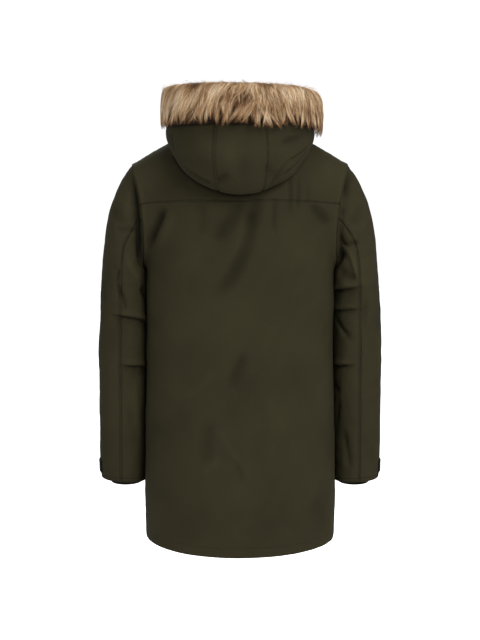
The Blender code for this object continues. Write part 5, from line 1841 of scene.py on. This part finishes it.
# %% The pile under the hairs
PILE_END = np.array([156.0, 158.0, 160.0, 161.3, 162.3, 163.0, 163.5])
PILE_ANGLES = np.concatenate([-PILE_END[::-1], np.linspace(-ROUND_FROM, ROUND_FROM, 111), PILE_END])
# painted shade: the pile is darker below these heights, under the hanging hairs, and grows lighter
# between them
PILE_LIGHT = (0.006, 0.040)  # the pile grows lighter between these heights

loop = drawn(PILE_SECTION, np.linspace(0, len(PILE_SECTION), 40, endpoint=False), closed=True)
pile_points = ruff_point(PILE_ANGLES[:, None], loop[None, :, 0], loop[None, :, 1])
index = np.arange(pile_points[..., 0].size).reshape(pile_points.shape[:2])
beside = np.roll(index, -1, axis=1)
pile_faces = np.stack([index[:-1], beside[:-1], beside[1:], index[1:]], axis=-1)
pile_faces = pile_faces.reshape(-1, 4)[:, ::-1].tolist()
pile_faces += [index[0].tolist(), index[-1, ::-1].tolist()]

# %% The fur's finish
FUR_PALETTE = (  # tone, colour
    (0.00, (0.050, 0.028, 0.014)),
    (0.28, (0.185, 0.090, 0.038)),
    (0.52, (0.430, 0.250, 0.118)),
    (0.76, (0.690, 0.480, 0.270)),
    (1.00, (0.920, 0.780, 0.570)),
)


def mapped(tree, value, low, high, to_low, to_high):
    inputs = dict(enumerate((value, low, high, to_low, to_high)))
    return add(tree, "ShaderNodeMapRange", inputs=inputs).outputs[0]


def fur_material(name, hairs):
    """Fur is darkest at its roots, partly in its own colour and partly as painted shade under the hairs
    above; each hair has its own tone, and some have a dark tip.
    """
    material, tree, shader = new_material(name)
    place = add(tree, "ShaderNodeTexCoord").outputs["Object"]
    fleck = noise(tree, place, 260.0, 2.0)
    if hairs:
        tone = attribute(tree, "tone")
        # darker towards the root: partly the hair's own colour, partly painted shade under the hairs
        # above
        shade = mapped(tree, attribute(tree, "along"), 0.0, 0.45, 0.42, 1.0)
        tip = mapped(tree, attribute(tree, "along"), 0.72, 0.98, 0.0, 1.0)
        tipped = maths(tree, "MULTIPLY", tip, attribute(tree, "dark_tip"))
        left = maths(tree, "SUBTRACT", 1.0, maths(tree, "MULTIPLY", tipped, 0.85))
        tone = maths(tree, "MULTIPLY", tone, left)
    else:
        tone = maths(tree, "MULTIPLY_ADD", fleck, 0.4, 0.04)
        # painted shade: the pile is darker towards its lower edge
        shade = maths(tree, "MULTIPLY_ADD", attribute(tree, "along"), 0.62, 0.08)
    tone = maths(tree, "MULTIPLY_ADD", maths(tree, "SUBTRACT", fleck, 0.5), 0.16, tone)
    ramp = add(tree, "ShaderNodeValToRGB", inputs={"Fac": tone})
    points = ramp.color_ramp.elements
    while len(points) < len(FUR_PALETTE):
        points.new(0.5)
    for point, (at, colour) in zip(points, FUR_PALETTE):
        point.position, point.color = at, (*colour, 1)
    colour = scaled(tree, ramp.outputs["Color"], shade)
    strands = noise(tree, place, 900.0, 2.0)
    height = maths(tree, "MULTIPLY", strands, 0.0004 if hairs else 0.0030)
    finish(tree, shader, colour, 0.6, height, 0.12, strength=0.6)
    return material


HAIR, PILE = fur_material("fur_hair", True), fur_material("fur_pile", False)
pile = mesh_object("fur_pile", pile_points.reshape(-1, 3), pile_faces, PILE)
smooth(pile.data)
# painted shade of the pile, from its height
light = smoothstep(*PILE_LIGHT, loop[:, 1])
note(pile.data, "along", np.tile(light, len(pile_points)))
fur_pieces = [pile]
print("fur pile:", triangles(pile), "triangles")

# %% Where the fur is light and dark, and which way it is combed
FUR_PATCHES = numbers("""
-31 0.060 12 0.020 0.20
-50 0.045 14 0.022 0.03
36 0.042 12 0.020 0.20
52 0.030 12 0.022 0.16
27 0.076 11 0.010 -0.30
-15 0.076 4 0.007 -0.36
6 0.046 5 0.014 -0.24
-3 0.044 4 0.016 -0.22
-14 0.022 12 0.014 -0.10
14 0.060 5 0.014 0.14
-42 0.018 7 0.020 -0.14
70 0.060 16 0.020 0.10
-75 0.060 16 0.020 0.08
110 0.040 20 0.025 -0.12
-118 0.045 18 0.025 -0.10
140 0.050 14 0.025 0.12
-145 0.050 14 0.025 0.12
""")  # angle and height of its middle, half width, half height, tone
PARTING = -18.0  # the angle that the hairs sweep away from
# how far down the hairs hang, as a height in the ruff's section
FUR_EDGE = table("""
angle edge
-162 -0.010
-100 -0.018
-72 -0.022
-52 -0.014
-36 -0.009
-22 -0.013
-10 -0.012
0 -0.005
12 -0.008
24 -0.004
40 -0.007
62 -0.004
78 0.000
100 -0.003
162 -0.010
""")


def patches(angle, height):
    """How much lighter or darker than the rest the fur is at a place in the ruff."""
    lighter = np.zeros(np.broadcast(angle, height).shape)
    for middle_angle, middle_height, wide, tall, tone in FUR_PATCHES:
        off = ((angle - middle_angle) / wide) ** 2 + ((height - middle_height) / tall) ** 2
        lighter += tone * np.exp(-off)
    return lighter


def combed(angle, down):
    """The sideways slope of the hairs; down runs from 0 on top of the ruff to 1 at its edge."""
    side = np.tanh((angle - PARTING) / 16.0)
    far = smoothstep(0, 60, np.abs(angle - PARTING))
    waves = 0.18 * np.sin(np.radians(angle) * 9.0 + 3.0 * down)
    return side * (0.16 + 0.50 * far * (1 - 0.65 * down)) + waves

# %% The hairs, lock by lock
HAIR_STEPS = 6
HAIR_WIDTH = 0.00044
HAIR_TONE = 0.555
LOCK_SPACING = 0.0084
LOCK_WIDTH = 0.0044
LOCK_ROWS = 0.0078  # from one row of locks to the next
RUFF_RADIUS, CLOTH_RADIUS = 0.185, 0.172  # that angles are measured at
EDGE_BAND = (0.004, 0.008)  # locks go this far past the edge, and end it from this far above
STEP_OUT = 0.002  # to where a hair's way out is read
LAST_ANGLE = ROUND_TO - 0.1


def place_locks(random, line, run, wide, first, tips):
    """Where each lock's tip is: its angle and its place along the line; and the edge there."""
    locks = []
    step = math.degrees(LOCK_SPACING / RUFF_RADIUS)
    for row, tip in enumerate(np.arange(first, run[-1], LOCK_ROWS)):
        for angle in np.arange(wide[0] + step * (row % 2) / 2, wide[1], step):
            locks.append((angle + random.normal(0, 0.35 * step), tip + random.normal(0, 0.0022)))
    locks = np.array(locks)
    edge_b = read(FUR_EDGE, "edge", locks[:, 0]) if tips is None else np.full(len(locks), tips)
    lower = run > run[-1] * 0.4
    edge = np.interp(-edge_b, -line[lower, 1], run[lower])
    kept = locks[:, 1] < edge + EDGE_BAND[0]
    locks, edge = locks[kept], edge[kept]
    last = locks[:, 1] > edge - EDGE_BAND[1]
    # a lock at the lower edge is pointed and ends there, longer or shorter than its neighbours
    locks[last, 1] = edge[last] + random.normal(0, 0.0030, last.sum())
    return locks, edge, last


def grow_hairs(corners, wide, seed, hairs_a_lock, length, lift, first, hand, tips):
    """Paths of hairs on one side of the ruff, with their ribbons' directions and values."""
    random = np.random.default_rng(seed)
    line = drawn(corners, np.linspace(0, len(corners) - 1, 160))
    run = arc_lengths(line)
    locks, edge, last = place_locks(random, line, run, wide, first, tips)
    count = np.where(last, int(hairs_a_lock * 1.35), hairs_a_lock)
    owner = np.repeat(np.arange(len(locks)), count)
    total = len(owner)
    lock_tone, sway = (random.normal(0, spread, len(locks))[owner] for spread in (0.16, 0.22))
    lock_lift = random.uniform(0.55, 1.0, len(locks))[owner]
    curl = random.normal(0, 0.0036, len(locks))[owner]
    longer = random.uniform(*length, total)
    sideways = random.normal(0, LOCK_WIDTH * 0.55, total)
    stagger = np.abs(random.normal(0, 0.0070, total)) * np.where(last[owner], 0.55, 1.0)
    stray = random.random(total) < 0.05
    along = np.linspace(0, 1, HAIR_STEPS)[None, :]
    tip = locks[owner, 1] - stagger
    root = np.maximum(tip - longer, 0.0)
    where = root[:, None] + (tip - root)[:, None] * along
    ahead = interpolated(where + 0.0005, run, line) - interpolated(where - 0.0005, run, line)
    outward = unit(np.stack([-ahead[..., 1], ahead[..., 0]], axis=-1)) * hand
    raised = lift * lock_lift * random.uniform(0.55, 1.1, total)
    raised = raised * np.where(stray, 1.25, 1.0)
    height = 0.0006 + raised[:, None] * (1 - (1 - along) ** 2.2) * (1 - 0.30 * along**3)
    place = interpolated(where, run, line) + outward * height[..., None]
    # sideways: combed slope, this lock's own, and the hairs of a lock draw together at its tip
    slope = combed(locks[owner, 0][:, None], where / run[-1]) + sway[:, None]
    slope = slope + np.where(stray, random.normal(0, 0.35, total), 0)[:, None]
    moved = (where - tip[:, None]) * slope + sideways[:, None] * (1 - 0.48 * along**1.6)
    moved = moved + curl[:, None] * np.sin(along * math.pi)
    angle = locks[owner, 0][:, None] + np.degrees(moved / (CLOTH_RADIUS + place[..., 0]))
    angle = np.clip(angle, -LAST_ANGLE, LAST_ANGLE)
    points = ruff_point(angle, place[..., 0], place[..., 1])
    further = place + outward * STEP_OUT
    facing = unit(ruff_point(angle, further[..., 0], further[..., 1]) - points)
    tangent = unit(np.gradient(points, axis=1))
    across = unit(np.cross(facing, tangent))
    turn = random.normal(0, 0.55, total)[:, None, None]
    across = across * np.cos(turn) + np.cross(tangent, across) * np.sin(turn)
    tone = HAIR_TONE + 1.25 * patches(angle, place[..., 1]) + lock_tone[:, None]
    tone = tone + random.normal(0, 0.20, total)[:, None]
    near_edge = smoothstep(-0.024, -0.006, tip - edge[owner])
    dark = near_edge * random.uniform(0.5, 1.2, total) + (random.random(total) < 0.10) * 0.8
    dark = np.clip(dark, 0, 1)[:, None] * np.ones((1, HAIR_STEPS))
    width = HAIR_WIDTH * random.uniform(0.7, 1.25, total)[:, None] * (1 - along**3 * 0.84)
    values = {"tone": tone, "dark_tip": dark, "along": along + np.zeros((total, 1)), "thin": width}
    return points, {"across": across, **values}


def hair_tree():
    """Each line becomes a flat ribbon as wide as "thin", lying along "across"."""
    tree, given, leave = growing_tree("hairs", {"Width": 1.0})
    curves = add(tree, "GeometryNodeMeshToCurve", inputs={0: given["Geometry"]})
    lie = {"Curve": curves.outputs[0], "Normal": named(tree, "across")}
    laid = add(tree, "GeometryNodeSetCurveNormal", {"mode": "FREE"}, lie)
    ends = {"Start": (-0.5, 0, 0), "End": (0.5, 0, 0)}
    ribbon = add(tree, "GeometryNodeCurvePrimitiveLine", inputs=ends)
    wide = maths(tree, "MULTIPLY", named(tree, "thin", "FLOAT"), given["Width"])
    sweep = {"Curve": laid.outputs[0], "Profile Curve": ribbon.outputs[0], "Scale": wide}
    sweep = add(tree, "GeometryNodeCurveToMesh", inputs=sweep).outputs[0]
    return finish_growing(tree, sweep, given, leave)

# %% Growing the hairs of each part
LOCKS_TO = HOOD_END_ANGLE + 1.2
# hairs a lock, their lengths, lift, first lock's tip, hand and the height of the last tips
OUTER_HAIRS = (20, (0.036, 0.058), 0.0085, 0.030, 1, None)
INNER_HAIRS = (6, (0.030, 0.046), 0.0075, 0.032, -1, -0.004)
TOP_HAIRS = (2, (0.016, 0.030), 0.0190, 0.010, 1, -1.0)

HAIRS = hair_tree()
for name, *how in (  # line, range of angles, seed and the hairs
    ("fur_left", OUTER_FLOW, (0, LOCKS_TO), 11, *OUTER_HAIRS),
    ("fur_right", OUTER_FLOW, (-LOCKS_TO, 0), 12, *OUTER_HAIRS),
    ("fur_inside", INNER_FLOW, (-LOCKS_TO, LOCKS_TO), 13, *INNER_HAIRS),
    ("fur_top", TOP_FLOW, (-LOCKS_TO, LOCKS_TO), 14, *TOP_HAIRS),
):
    source = lines_object(f"{name}_lines", *grow_hairs(*how))
    fur_pieces.append(grown(name, source, HAIRS, {"Material": HAIR, "Width": 1.0}))

# %% [markdown]
# ## What each piece is in the frame
#
# Every piece rides on one body and stands for its solid, so poses move it and nothing shows twice. Each
# cloth piece notes the flat size it was cut to, and the table below says what hangs from each piece or
# is laid on it.

# %% Every piece rides on its body and stands for its solid
CARRIES = {  # what hangs from each piece, or is laid on it
    "back_yoke": "back_panel front_left front_right sleeve_left_outer sleeve_right_outer "
    "hood_left hood_centre hood_right",
    "back_panel": "sleeve_left_under sleeve_right_under",
    "front_left": "back_yoke zip_tape_left",
    "front_right": "zip_tape_right",
    "sleeve_left_outer": "rib_cuff_left cuff_tab_left",
    "sleeve_right_outer": "rib_cuff_right cuff_tab_right",
}
SUPPORT = {node: support for support, nodes in CARRIES.items() for node in nodes.split()}
LEAST_AREA = 0.3  # of the flat size's own rectangle

everything = [(piece, (node,), "shell", "garment") for node, piece in pieces.items()] + trims
everything += [(piece, ("fur_trim",), "fur", "garment") for piece in fur_pieces]
total = 0
for piece, nodes, slot, body_name in everything:
    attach(piece, body_name)
    if nodes:
        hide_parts(*nodes)
    total += triangles(piece)
    if nodes and nodes[0] in SUPPORT:
        held = "laid" if nodes[0].startswith("hood") else "hung"
        wide, long, area = piece["cut"]
        area = min(max(area, LEAST_AREA * wide * long), wide * long)
print("pieces:", len(everything), "and triangles in all:", total)
